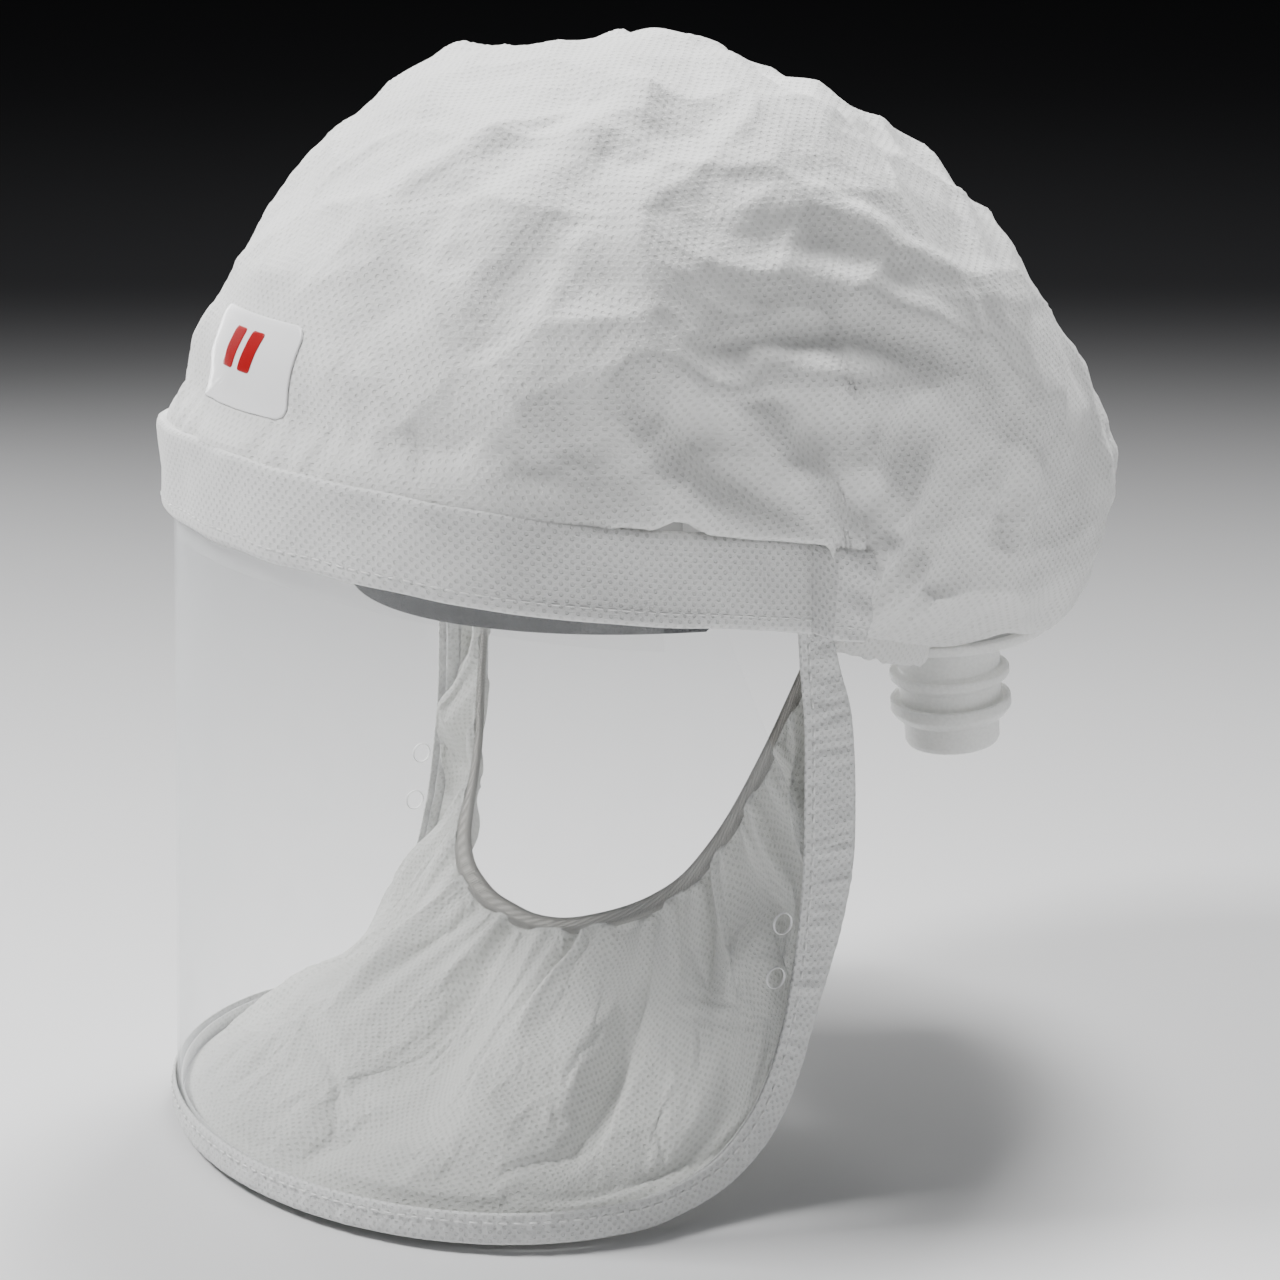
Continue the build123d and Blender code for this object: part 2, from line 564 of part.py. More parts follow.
def oval(half_x, half_y, power, steps=32):
    """Closed superellipse: a circle at power 2, a rounded rectangle at higher powers."""
    points = []
    for step in range(steps):
        angle = 2 * math.pi * step / steps
        c, s = math.cos(angle), math.sin(angle)
        points.append((half_x * math.copysign(abs(c) ** (2 / power), c),
                       half_y * math.copysign(abs(s) ** (2 / power), s)))
    return Face(Wire([Spline(*points, periodic=True)]))


def boot_solid(wall, reach):
    """Inside of the boot grown by wall, and carried past both ends by reach."""
    end_y, end_z = DUCT_PATH[0]
    base = connector_frame() * Pos(0, 0, BOOT_BASE - reach) * oval(THROAT_R + 0.1 + wall, THROAT_R + 0.1 + wall, 2)
    rim = connector_frame() * Pos(0, 0, THROAT_TOP + 1.0) * oval(THROAT_R + 0.1 + wall, THROAT_R + 0.1 + wall, 2)
    half_x = DUCT_HALF_X - DUCT_WALL - 1.5 + wall
    half_y = DUCT_HALF_T - DUCT_WALL - 0.3 + wall
    mouth = Pos(0, end_y, end_z - BOOT_GAP + reach) * oval(half_x, half_y, 4)
    throat = loft([base, rim], ruled=True)
    flared = loft([rim, mouth], ruled=True)
    return throat + flared


def make_boot():
    return boot_solid(BOOT_WALL, 0) - boot_solid(0, 0.5)


def make_boot_clip():
    inner = THROAT_R + 0.15 + BOOT_WALL
    band = annulus(inner, inner + CLIP_THICK, CLIP_Z - CLIP_WIDTH / 2, CLIP_Z + CLIP_WIDTH / 2)
    ear = Pos(inner + 3.5, 0, CLIP_Z) * Box(5.5, 3, CLIP_WIDTH)
    return connector_frame() * (band + ear)


def duct_line(offset):
    """Duct's centre line moved outwards by offset, as a curve in the YZ plane's own x and y."""
    path = Spline(*DUCT_PATH)
    points = []
    for step in range(DUCT_STEPS + 1):
        place = path.position_at(step / DUCT_STEPS)
        run = path.tangent_at(step / DUCT_STEPS)
        points.append((place.X + run.Y * offset, place.Y - run.X * offset))
    return Spline(*points)


def duct_layer(low, high, half_x):
    inner = duct_line(low)
    outer = duct_line(high)
    start = Line(inner @ 0, outer @ 0)
    end = Line(inner @ 1, outer @ 1)
    return extrude(Plane.YZ * Face(Wire([inner, end, outer, start])), half_x, both=True)


def make_duct_outer():
    """Channel: the duct's outer wall and its two sides."""
    floor = DUCT_HALF_T - DUCT_WALL
    channel = duct_layer(-floor, DUCT_HALF_T, DUCT_HALF_X)
    return channel - duct_layer(-floor - 1, floor, DUCT_HALF_X - DUCT_WALL)


def make_duct_cover():
    """Flat cover on the head side."""
    return duct_layer(-DUCT_HALF_T, -DUCT_HALF_T + DUCT_WALL, DUCT_HALF_X)


def make_air_lip():
    """Scoop on the duct's mouth that turns the air down the visor."""
    root = duct_line(DUCT_HALF_T) @ 1
    inner = duct_line(DUCT_HALF_T - DUCT_WALL) @ 1
    run = Spline(*DUCT_PATH) % 1
    drop = (inner - root).normalized() * LIP_DROP
    tip = root + run * LIP_LENGTH + drop
    outline = [(p.X, p.Y) for p in (root, tip, tip + (inner - root), inner)]
    return side_prism(outline, DUCT_HALF_X)


def make_bracket():
    """Two ribs from the headband's forehead up to the duct's mouth."""
    rib = side_prism(BRACKET_OUTLINE, BRACKET_THICK / 2, BRACKET_X)
    rib -= Pos(0, 0, -60) * extrude(ring_face(FRONT_BAND[1] + 0.02), 200)
    rib -= duct_layer(-DUCT_HALF_T - 0.02, DUCT_HALF_T + 20, WIDE)
    rib = max(rib.solids(), key=lambda solid: solid.volume)
    return Compound(children=[rib, rib.mirror(Plane.YZ)])


PARTS = {
    "hood_crown": make_crown,
    "nape_panel": make_nape_panel,
    "brow_band": make_brow_band,
    "front_label": make_label,
    "nape_casing": make_nape_casing,
    "nape_elastic": make_nape_elastic,
    "chin_skirt": lambda: ribbon(SEAL_WIDTH + 0.2, None, SKIRT_SHEET),
    "face_seal_elastic": lambda: ribbon(0, SEAL_WIDTH, SEAL_THICK),
    "visor": make_visor,
    "side_binding_left": lambda: make_side_tape(1),
    "side_binding_right": lambda: make_side_tape(-1),
    "bottom_binding": make_bottom_tape,
    "visor_seal_strip": make_seal_strip,
    "headband_front": make_front_band,
    "comfort_pad": make_comfort_pad,
    "headband_rear": make_cradle,
    "nape_pad": make_nape_pad,
    "adjuster_pegs": make_adjuster_pegs,
    "crown_strap_side": make_side_strap,
    "crown_strap_front": make_front_strap,
    "crown_button": make_crown_button,
    "crown_pad": make_crown_pad,
    "strap_studs": make_strap_studs,
    "temple_spacer_left": lambda: make_spacer(1),
    "temple_spacer_right": lambda: make_spacer(-1),
    "temple_rivets": make_rivets,
    "hose_connector": make_connector,
    "connector_gasket": make_gasket,
    "clamp_ring": make_clamp_ring,
    "clamp_screws": make_clamp_screws,
    "duct_boot": make_boot,
    "boot_clip": make_boot_clip,
    "duct_channel": make_duct_outer,
    "duct_cover": make_duct_cover,
    "air_lip": make_air_lip,
    "duct_bracket": make_bracket,
}

for name, make in PARTS.items():
    export_step(make(), f"parts/{name}.step")
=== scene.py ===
"""Looks of the powered air respirator hood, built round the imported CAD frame, on the CAD's axes.

Shapes are worked out in millimetres and become metres when they are made into meshes."""
import math

import bmesh
import bpy
import numpy as np
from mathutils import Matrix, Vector, noise
from mathutils.bvhtree import BVHTree


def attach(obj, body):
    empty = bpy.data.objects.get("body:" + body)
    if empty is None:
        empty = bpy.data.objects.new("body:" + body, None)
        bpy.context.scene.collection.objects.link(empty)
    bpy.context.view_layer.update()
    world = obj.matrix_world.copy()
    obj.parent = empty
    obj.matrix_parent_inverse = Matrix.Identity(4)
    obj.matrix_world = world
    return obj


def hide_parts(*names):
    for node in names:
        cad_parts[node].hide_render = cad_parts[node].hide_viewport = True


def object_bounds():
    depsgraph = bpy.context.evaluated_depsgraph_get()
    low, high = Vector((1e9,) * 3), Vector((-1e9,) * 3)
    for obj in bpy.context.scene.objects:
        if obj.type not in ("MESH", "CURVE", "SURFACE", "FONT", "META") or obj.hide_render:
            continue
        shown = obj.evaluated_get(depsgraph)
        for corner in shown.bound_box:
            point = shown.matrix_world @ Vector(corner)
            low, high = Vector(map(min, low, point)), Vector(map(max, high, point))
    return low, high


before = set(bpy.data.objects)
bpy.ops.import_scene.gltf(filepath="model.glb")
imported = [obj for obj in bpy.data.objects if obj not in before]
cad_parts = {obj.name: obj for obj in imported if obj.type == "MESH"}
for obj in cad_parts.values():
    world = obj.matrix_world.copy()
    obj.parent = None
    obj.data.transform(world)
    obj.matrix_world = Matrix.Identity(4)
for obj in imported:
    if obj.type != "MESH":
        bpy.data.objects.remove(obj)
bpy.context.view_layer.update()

MM = 0.001

# Driving sizes, in millimetres, as in the CAD
VISOR_HALF_WIDTH, VISOR_NOSE_DEPTH, VISOR_NOSE_Y = 89.8, 69.6, -78.5
VISOR_FLARE, U_TOP_Z, U_BOTTOM_Z = 6.0, 34.0, -180.0
BAND_SLOPE, BAND_FRONT_Y, BAND_HEM_Z, BAND_HEIGHT, BAND_END_Y = -0.19, -148.0, 2.8, 26.3, -12.0
NECK_HALF_X, NECK_HALF_Y, NECK_CENTRE_Y = 86.0, 73.5, -8.0
CONNECTOR_Y, CONNECTOR_Z, CONNECTOR_TILT = 100.0, -54.95, 5.0
EAR = (94.0, -10.0, -22.0)

HOOD_THICK, BAND_THICK, SKIRT_THICK, TAPE_THICK = 0.45, 0.5, 0.4, 0.4
CREASE_STRENGTH = 2.1
UNDER_BAND = -1.1  # where the hood passes behind the brow band
HOOD_EASE = 4.0  # how far the loose hood is drawn in, so that its outward folds stay near the CAD's surface
VISOR_HOLES = ((-32.5, -100), (-35, -115))
LABEL_Z = 51.0

# Face seal and hem stations of the left half, from the chin to the ear
FACE_SEAL = [(0, -57, -118), (14, -56.5, -117), (27, -54.5, -113.5), (38, -49.5, -109), (47, -43, -103.5),
             (54, -37, -96), (60, -31.5, -85), (66, -27, -72), (74, -20.5, -50), (84, -14, -22)]
SKIRT_NOSE_ANGLES = [90, 72, 53, 33, 12]
SKIRT_SIDE = [(-60, -169), (-39, -155), (-29, -128), (-21, -92), (-19, -52), (-16, -20)]
SKIRT_NOSE_Z = -172.5
SKIRT_INSET = 1.6

# Binding tape stations of the left half, outer edge and inner edge (y, z), then round the nose
TAPE_OUTER = [(-19, -10), (-13, -32), (-9.5, -44), (-8.2, -58), (-8.0, -72), (-8.6, -86), (-11.5, -100),
              (-15.5, -112), (-20, -123), (-24, -134), (-30, -149), (-39, -161.5), (-54, -171.5),
              (-75, -176.3)]
TAPE_INNER = [(-27.5, -10), (-26.5, -32), (-25.5, -44), (-25.5, -58), (-25.7, -72), (-26.2, -86),
              (-27.5, -98), (-29, -110), (-31, -120), (-33.5, -130), (-38.5, -143), (-46, -154), (-58, -163),
              (-76, -167.3)]


def flare_at(z):
    return VISOR_FLARE * (U_TOP_Z - z) / (U_TOP_Z - U_BOTTOM_Z)


def u_point(offset, z, turn):
    """Point on the visor's nose, at an angle from the left side round to the right side."""
    grow = flare_at(z) + offset
    return np.array([(VISOR_HALF_WIDTH + grow) * math.cos(turn),
                     VISOR_NOSE_Y - (VISOR_NOSE_DEPTH + grow) * math.sin(turn), z])


def u_side(offset, y, z):
    return np.array([VISOR_HALF_WIDTH + flare_at(z) + offset, y, z])


def hem_z(y):
    return BAND_HEM_Z + BAND_SLOPE * (y - BAND_FRONT_Y)


def run_along(path):
    """Running length at each point of a path."""
    return np.concatenate([[0], np.cumsum(np.linalg.norm(np.diff(path, axis=0), axis=1))])


def smooth_path(points, count):
    """Catmull-Rom curve through the points, resampled evenly along its length."""
    p = np.array(points, float)
    ends = np.vstack([2 * p[0] - p[1], p, 2 * p[-1] - p[-2]])
    fine = []
    for i in range(len(p) - 1):
        a, b, c, d = ends[i:i + 4]
        for t in np.linspace(0, 1, 24, endpoint=False):
            fine.append(0.5 * (2 * b + (c - a) * t + (2 * a - 5 * b + 4 * c - d) * t * t
                               + (3 * b - a - 3 * c + d) * t ** 3))
    fine.append(p[-1])
    fine = np.array(fine)
    run = run_along(fine)
    at = np.linspace(0, run[-1], count)
    return np.column_stack([np.interp(at, run, fine[:, k]) for k in range(fine.shape[1])])


def mirror_path(points):
    """Left half, from the middle outwards, turned into right ear to left ear."""
    p = np.array(points, float)
    q = p[1:][::-1].copy()
    q[:, 0] *= -1
    return np.vstack([q, p])


def unit(v):
    return v / np.maximum(np.linalg.norm(v, axis=-1, keepdims=True), 1e-9)


def grid_normals(p, closed=False):
    """Unit normals of a grid of points (rows, columns, 3)."""
    if closed:
        du = np.roll(p, -1, axis=1) - np.roll(p, 1, axis=1)
    else:
        du = np.gradient(p, axis=1)
    dv = np.gradient(p, axis=0)
    return unit(np.cross(du, dv))


def grid_uv(p, closed):
    """Running lengths along columns and rows, in metres."""
    q = np.concatenate([p, p[:, :1]], axis=1) if closed else p
    middle = q[q.shape[0] // 2]
    u = run_along(middle)
    rows = np.linalg.norm(np.diff(q, axis=0), axis=2)
    v = np.concatenate([np.zeros((1, q.shape[1])), np.cumsum(rows, axis=0)])
    return np.broadcast_to(u, v.shape) * MM, v * MM


def new_object(name, mesh):
    obj = bpy.data.objects.new(name, mesh)
    bpy.context.collection.objects.link(obj)
    return obj


def grid_object(name, p, closed=False, keep=None):
    """Mesh from a grid of points in millimetres, with UVs in metres. keep says which of its faces stay."""
    rows, cols = p.shape[:2]
    u, v = grid_uv(p, closed)
    verts = [tuple(q) for q in (p.reshape(-1, 3) * MM)]
    faces, uvs = [], []
    for i in range(rows - 1):
        for j in range(cols if closed else cols - 1):
            k = (j + 1) % cols
            if keep is not None and not keep[i, j]:
                continue
            loop = [(i, j, j), (i, k, j + 1), (i + 1, k, j + 1), (i + 1, j, j)]
            faces.append([a * cols + b for a, b, _ in loop])
            uvs.extend((u[a, c], v[a, c]) for a, _, c in loop)
    mesh = bpy.data.meshes.new(name)
    mesh.from_pydata(verts, [], faces)
    layer = mesh.uv_layers.new(name="UVMap")
    layer.data.foreach_set("uv", np.array(uvs, float).ravel())
    obj = new_object(name, mesh)
    work = bmesh.new()
    work.from_mesh(mesh)
    loose = [v for v in work.verts if not v.link_faces]
    bmesh.ops.delete(work, geom=loose, context="VERTS")
    work.to_mesh(mesh)
    work.free()
    shade_smooth(mesh)
    return obj


def shade_smooth(mesh):
    mesh.polygons.foreach_set("use_smooth", [True] * len(mesh.polygons))


def mesh_object(name, work):
    """Object from a finished bmesh, with its faces turned outwards."""
    bmesh.ops.recalc_face_normals(work, faces=work.faces)
    mesh = bpy.data.meshes.new(name)
    work.to_mesh(mesh)
    work.free()
    shade_smooth(mesh)
    return new_object(name, mesh)


def close_up(obj, fill=False, weld=False):
    """Closes a tube, by filling its two ends or welding its seam, and turns its faces outwards."""
    work = bmesh.new()
    work.from_mesh(obj.data)
    if weld:
        bmesh.ops.remove_doubles(work, verts=work.verts, dist=1e-7)
    if fill:
        bmesh.ops.holes_fill(work, edges=[e for e in work.edges if e.is_boundary], sides=0)
    bmesh.ops.recalc_face_normals(work, faces=work.faces)
    work.to_mesh(obj.data)
    work.free()
    return obj


def tube(name, lines):
    """Closed tube from lines of points along it, one for each step round its section."""
    return close_up(grid_object(name, np.moveaxis(np.array(lines), 0, 1), closed=True), fill=True)


def apply_modifier(obj, kind, **settings):
    mod = obj.modifiers.new(kind.lower(), kind)
    for key, value in settings.items():
        setattr(mod, key, value)
    bpy.context.view_layer.objects.active = obj
    with bpy.context.temp_override(object=obj, active_object=obj, selected_objects=[obj]):
        bpy.ops.object.modifier_apply(modifier=mod.name)


def thicken(obj, thickness, offset=0.0):
    """Gives an open sheet its real thickness, in millimetres, and closes its edges."""
    apply_modifier(obj, "SOLIDIFY", thickness=thickness * MM, offset=offset, use_even_offset=False)
    shade_smooth(obj.data)
    obj.data.update()


def noise_at(points, scale, shift=0.0):
    """Smooth noise of about -1 to 1 at each point, with features of the given size in millimetres."""
    flat = points.reshape(-1, 3) / scale + shift
    return np.array([noise.noise(Vector(q)) for q in flat]).reshape(points.shape[:-1]) * 2


def crease_field(points, scale, shift=0.0):
    """0 in the middle of flat facets, rising to 1 on the sharp lines between them."""
    out = []
    for q in points.reshape(-1, 3) / scale + shift:
        near, _ = noise.voronoi(Vector(q))
        out.append(1 - min((near[1] - near[0]) * 2.2, 1.0))
    return np.array(out).reshape(points.shape[:-1])


def step01(x):
    x = np.clip(x, 0, 1)
    return x * x * (3 - 2 * x)


# Materials

class Nodes:
    """Small helper round one material's node tree."""

    def __init__(self, name):
        self.mat = bpy.data.materials.new(name)
        self.mat.use_nodes = True
        self.tree = self.mat.node_tree
        self.shader = self.tree.nodes["Principled BSDF"]
        self.shader.inputs["Subsurface Radius"].default_value = (1.0, 0.97, 0.92)

    def add(self, kind, **inputs):
        node = self.tree.nodes.new(kind)
        for key, value in inputs.items():
            node.inputs[key].default_value = value
        return node

    def link(self, a, b):
        self.tree.links.new(a, b)

    def math(self, operation, a, b=0.0, clamp=False):
        node = self.tree.nodes.new("ShaderNodeMath")
        node.operation = operation
        node.use_clamp = clamp
        for socket, value in zip(node.inputs, (a, b)):
            if isinstance(value, (int, float)):
                socket.default_value = value
            else:
                self.link(value, socket)
        return node.outputs[0]

    def mix(self, factor, a, b):
        node = self.tree.nodes.new("ShaderNodeMix")
        node.data_type = "RGBA"
        for socket, value in ((node.inputs[0], factor), (node.inputs[6], a), (node.inputs[7], b)):
            if isinstance(value, (int, float)):
                socket.default_value = value
            elif isinstance(value, tuple):
                socket.default_value = (*value, 1)
            else:
                self.link(value, socket)
        return node.outputs[2]

    def ramp(self, value, low, high):
        node = self.tree.nodes.new("ShaderNodeMapRange")
        node.interpolation_type = "SMOOTHSTEP"
        node.inputs["From Min"].default_value = low
        node.inputs["From Max"].default_value = high
        self.link(value, node.inputs["Value"])
        return node.outputs["Result"]

    def noise(self, scale, detail=3.0, rough=0.5, vector=None):
        node = self.add("ShaderNodeTexNoise", Scale=scale, Detail=detail, Roughness=rough)
        if vector is not None:
            self.link(vector, node.inputs["Vector"])
        return node.outputs["Fac"]

    def coords(self, kind="Object"):
        return self.add("ShaderNodeTexCoord").outputs[kind]

    def bump(self, height, distance, strength=1.0, normal=None):
        node = self.add("ShaderNodeBump", Strength=strength, Distance=distance)
        self.link(height, node.inputs["Height"])
        if normal is not None:
            self.link(normal, node.inputs["Normal"])
        return node.outputs["Normal"]

    def set(self, **values):
        names = {"color": "Base Color", "rough": "Roughness", "sheen": "Sheen Weight",
                 "sss": "Subsurface Weight", "ior": "IOR", "alpha": "Alpha", "metal": "Metallic",
                 "trans": "Transmission Weight", "coat": "Coat Weight", "spec": "Specular IOR Level",
                 "normal": "Normal", "sheen_rough": "Sheen Roughness", "sss_scale": "Subsurface Scale"}
        for key, value in values.items():
            socket = self.shader.inputs[names[key]]
            if isinstance(value, tuple):
                socket.default_value = (*value, 1)
            elif isinstance(value, (int, float)):
                socket.default_value = value
            else:
                self.link(value, socket)
        return self.mat


def dots(n, u, v, pitch, low=0.25, high=0.7):
    """Staggered bond points: 1 in each point and 0 between them."""
    wave_u = n.math("COSINE", n.math("MULTIPLY", u, 2 * math.pi / pitch))
    wave_v = n.math("COSINE", n.math("MULTIPLY", v, 2 * math.pi / pitch))
    return n.ramp(n.math("MULTIPLY", wave_u, wave_v), low, high)


def uv_dots(n, pitch):
    split = n.add("ShaderNodeSeparateXYZ")
    n.link(n.coords("UV"), split.inputs[0])
    return dots(n, split.outputs[0], split.outputs[1], pitch)


def box_dots(n, pitch):
    """Bond points laid flat on the three main directions and blended by the way the surface faces."""
    split = n.add("ShaderNodeSeparateXYZ")
    n.link(n.coords(), split.inputs[0])
    x, y, z = split.outputs
    facing = n.add("ShaderNodeSeparateXYZ")
    n.link(n.add("ShaderNodeTexCoord").outputs["Normal"], facing.inputs[0])
    weights = [n.math("POWER", n.math("ABSOLUTE", side), 6.0) for side in facing.outputs]
    total = n.math("ADD", n.math("ADD", weights[0], weights[1]), weights[2])
    layers = [dots(n, y, z, pitch), dots(n, x, z, pitch), dots(n, x, y, pitch)]
    summed = None
    for weight, layer in zip(weights, layers):
        part = n.math("MULTIPLY", weight, layer)
        summed = part if summed is None else n.math("ADD", summed, part)
    return n.math("DIVIDE", summed, total)


def nonwoven(name, color, dot_color, pitch=0.0030, depth=0.00016, from_uv=False, shade=0.06, sss=0.15):
    """Point-bonded spunbond cloth: soft fibres pressed down at rows of small bond points."""
    n = Nodes(name)
    mask = uv_dots(n, pitch) if from_uv else box_dots(n, pitch)
    fibre = n.noise(900.0, 4.0, 0.65)
    patch = n.noise(26.0, 3.0, 0.55)
    base = n.mix(n.math("MULTIPLY", n.ramp(patch, 0.35, 0.7), shade * 4, clamp=True), color,
                 tuple(c * (1 - shade) for c in color))
    strength = n.math("MULTIPLY", n.ramp(fibre, 0.35, 0.75), 0.35)
    fibred = n.mix(strength, base, tuple(c * 0.93 for c in color))
    tint = n.mix(n.math("MULTIPLY", mask, 0.6), fibred, dot_color)
    puff = n.math("SUBTRACT", 1.0, mask)
    height = n.math("ADD", puff, n.math("MULTIPLY", fibre, 0.35))
    crumple = n.bump(n.noise(160.0, 3.0, 0.55), 0.0006, 0.5)
    normal = n.bump(height, depth, 1.0, crumple)
    rough = n.math("ADD", 0.62, n.math("MULTIPLY", puff, 0.16))
    return n.set(color=tint, rough=rough, normal=normal, sheen=0.25, sheen_rough=0.5, sss=sss,
                 sss_scale=0.003, spec=0.3)


def clear_sheet(name):
    """Clear polished sheet: nearly invisible face on, paler and glossier towards its edges, where the paler
    white is painted reflection and highlight.
    """
    n = Nodes(name)
    weight = n.add("ShaderNodeLayerWeight", Blend=0.35)
    # rim and edge turn the sheet whiter where it is seen at a slant: painted reflection, with the sharp edge
    # term a painted highlight; haze is the sheet's own
    rim = n.math("POWER", weight.outputs["Facing"], 2.4)
    haze = n.math("MULTIPLY", n.ramp(n.noise(14.0, 2.0, 0.5), 0.4, 0.75), 0.015)
    edge = n.math("MULTIPLY", n.math("POWER", weight.outputs["Facing"], 9.0), 0.55)
    soft = n.math("ADD", 0.035, n.math("MULTIPLY", rim, 0.40))
    alpha = n.math("ADD", n.math("ADD", soft, edge), haze, clamp=True)
    streak = n.math("MULTIPLY", n.noise(60.0, 2.0, 0.4), 0.02)
    rough = n.math("ADD", 0.03, streak)
    return n.set(color=(0.90, 0.93, 0.95), rough=rough, alpha=alpha, spec=0.9, ior=1.5)


def moulded(name, color, rough=0.42, grain=900.0, sss=0.0, depth=0.00004, coat=0.0):
    """Moulded plastic with a fine spark-eroded texture and slightly uneven gloss."""
    n = Nodes(name)
    fine = n.noise(grain, 3.0, 0.6)
    broad = n.noise(40.0, 2.0, 0.5)
    tint = n.mix(n.ramp(broad, 0.3, 0.75), color, tuple(c * 0.95 for c in color))
    gloss = n.math("ADD", rough - 0.05, n.math("MULTIPLY", broad, 0.10))
    edge = n.add("ShaderNodeBevel", Radius=0.0004)
    normal = n.bump(fine, depth, 0.8, edge.outputs[0])
    return n.set(color=tint, rough=gloss, normal=normal, sss=sss, sss_scale=0.004, coat=coat)


def milky(name):
    """Translucent natural polypropylene."""
    n = Nodes(name)
    flow = n.noise(55.0, 3.0, 0.5)
    tint = n.mix(n.ramp(flow, 0.3, 0.75), (0.88, 0.885, 0.86), (0.80, 0.805, 0.78))
    gloss = n.math("ADD", 0.26, n.math("MULTIPLY", flow, 0.10))
    normal = n.bump(n.noise(500.0, 2.0, 0.5), 0.00003, 0.6)
    return n.set(color=tint, rough=gloss, normal=normal, sss=0.6, sss_scale=0.010, spec=0.45)


def foam(name, color=(0.014, 0.0145, 0.016)):
    """Fine open-cell foam."""
    n = Nodes(name)
    cells = n.add("ShaderNodeTexVoronoi", Scale=1100.0)
    n.link(n.coords(), cells.inputs["Vector"])
    pore = cells.outputs["Distance"]
    tint = n.mix(n.ramp(pore, 0.1, 0.6), tuple(c * 0.55 for c in color), tuple(c * 1.5 for c in color))
    normal = n.bump(pore, 0.0004, 0.9)
    return n.set(color=tint, rough=0.92, normal=normal, sheen=0.04, sheen_rough=0.6, spec=0.15)


def overlock(name):
    """Warm grey elastic with its zigzag threads."""
    n = Nodes(name)
    split = n.add("ShaderNodeSeparateXYZ")
    n.link(n.coords("UV"), split.inputs[0])
    run = n.math("ADD", split.outputs[1], n.math("MULTIPLY", split.outputs[0], 0.12))
    thread = n.math("COSINE", n.math("MULTIPLY", run, 2 * math.pi / 0.0011))
    mask = n.ramp(thread, -0.6, 0.7)
    tint = n.mix(mask, (0.30, 0.29, 0.265), (0.66, 0.645, 0.60))
    twist = n.noise(2500.0, 2.0, 0.5)
    shaded = n.mix(n.math("MULTIPLY", n.ramp(twist, 0.3, 0.8), 0.4), tint, (0.60, 0.585, 0.55))
    return n.set(color=shaded, rough=0.7, normal=n.bump(thread, 0.00012, 0.8), sheen=0.2, spec=0.3)


def film(name):
    """Thin frosted film."""
    n = Nodes(name)
    soft = n.noise(200.0, 3.0, 0.5)
    alpha = n.math("ADD", 0.03, n.math("MULTIPLY", soft, 0.10), clamp=True)
    tint = n.mix(soft, (0.80, 0.81, 0.80), (0.88, 0.88, 0.87))
    return n.set(color=tint, rough=0.4, alpha=alpha, normal=n.bump(soft, 0.00006, 0.6))


def metal(name):
    n = Nodes(name)
    brush = n.noise(700.0, 2.0, 0.5)
    rough = n.math("ADD", 0.22, n.math("MULTIPLY", brush, 0.14))
    tint = n.mix(brush, (0.55, 0.55, 0.56), (0.68, 0.68, 0.69))
    return n.set(color=tint, rough=rough, metal=1.0, normal=n.bump(brush, 0.00002, 0.5))


def printed(name, color):
    n = Nodes(name)
    speck = n.noise(700.0, 3.0, 0.6)
    tint = n.mix(n.ramp(speck, 0.35, 0.8), color, tuple(c * 0.86 for c in color))
    return n.set(color=tint, rough=0.32, normal=n.bump(speck, 0.00002, 0.5), coat=0.2)


HOOD_CLOTH = nonwoven("hood_cloth", (0.82, 0.82, 0.805), (0.64, 0.64, 0.62), pitch=0.0028)
BAND_CLOTH = nonwoven("band_cloth", (0.80, 0.80, 0.79), (0.56, 0.56, 0.55), from_uv=True, depth=0.0002)
SKIRT_CLOTH = nonwoven("skirt_cloth", (0.74, 0.745, 0.71), (0.54, 0.545, 0.51), pitch=0.0024, depth=0.00016,
                       from_uv=True, shade=0.05, sss=0.25)
TAPE_CLOTH = nonwoven("tape_cloth", (0.76, 0.765, 0.755), (0.62, 0.62, 0.61), pitch=0.0026, depth=0.00022,
                      from_uv=True)
CLEAR_WITH_PAINTED_GLINT = clear_sheet("clear_visor")
MILKY = milky("milky_plastic")
FOAM = foam("grey_foam")
OVERLOCK = overlock("overlock_elastic")
THREAD = printed("thread", (0.86, 0.86, 0.85))
LABEL_WHITE_AND_HOLE_GLINT = printed("label_film_and_hole_glint", (0.93, 0.93, 0.935))
LABEL_RED = printed("label_red", (0.36, 0.001, 0.004))
WHITE_PLASTIC = moulded("white_plastic", (0.72, 0.72, 0.71))
STRAP_PLASTIC = moulded("strap_plastic", (0.66, 0.67, 0.67), rough=0.5, grain=500.0, depth=0.00008)
DUCT_PLASTIC = moulded("duct_plastic", (0.60, 0.62, 0.62), rough=0.38)
BOOT_RUBBER = moulded("boot_rubber", (0.030, 0.030, 0.032), rough=0.6, grain=1500.0)
SCREW_METAL = metal("screw_metal")
FILM = film("seal_film")


def dress(obj, material):
    obj.data.materials.clear()
    obj.data.materials.append(material)
    return obj


def place(obj, material, body="hood", replaces=()):
    dress(obj, material)
    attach(obj, body)
    if replaces:
        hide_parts(*replaces)
    return obj


# Hood

def node_surface(*names):
    """Search tree over the surfaces of some CAD nodes, in metres."""
    verts, faces = [], []
    for name in names:
        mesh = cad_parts[name].data
        start = len(verts)
        verts.extend(v.co.copy() for v in mesh.vertices)
        faces.extend([start + i for i in p.vertices] for p in mesh.polygons)
    return BVHTree.FromPolygons(verts, faces)


HOOD_CENTRE = np.array([0.0, -5.0, 8.0])
HOOD_COLUMNS = 420
HOOD_ROWS = 150


def hood_hit(tree, turn, tilt):
    """Outermost point of the hood in one direction from its centre, or None."""
    way = np.array([math.cos(tilt) * math.cos(turn), math.cos(tilt) * math.sin(turn), math.sin(tilt)])
    start = Vector((HOOD_CENTRE + way * 400) * MM)
    hit, _, _, _ = tree.ray_cast(start, Vector(-way), 0.4)
    return None if hit is None else np.array(hit) / MM


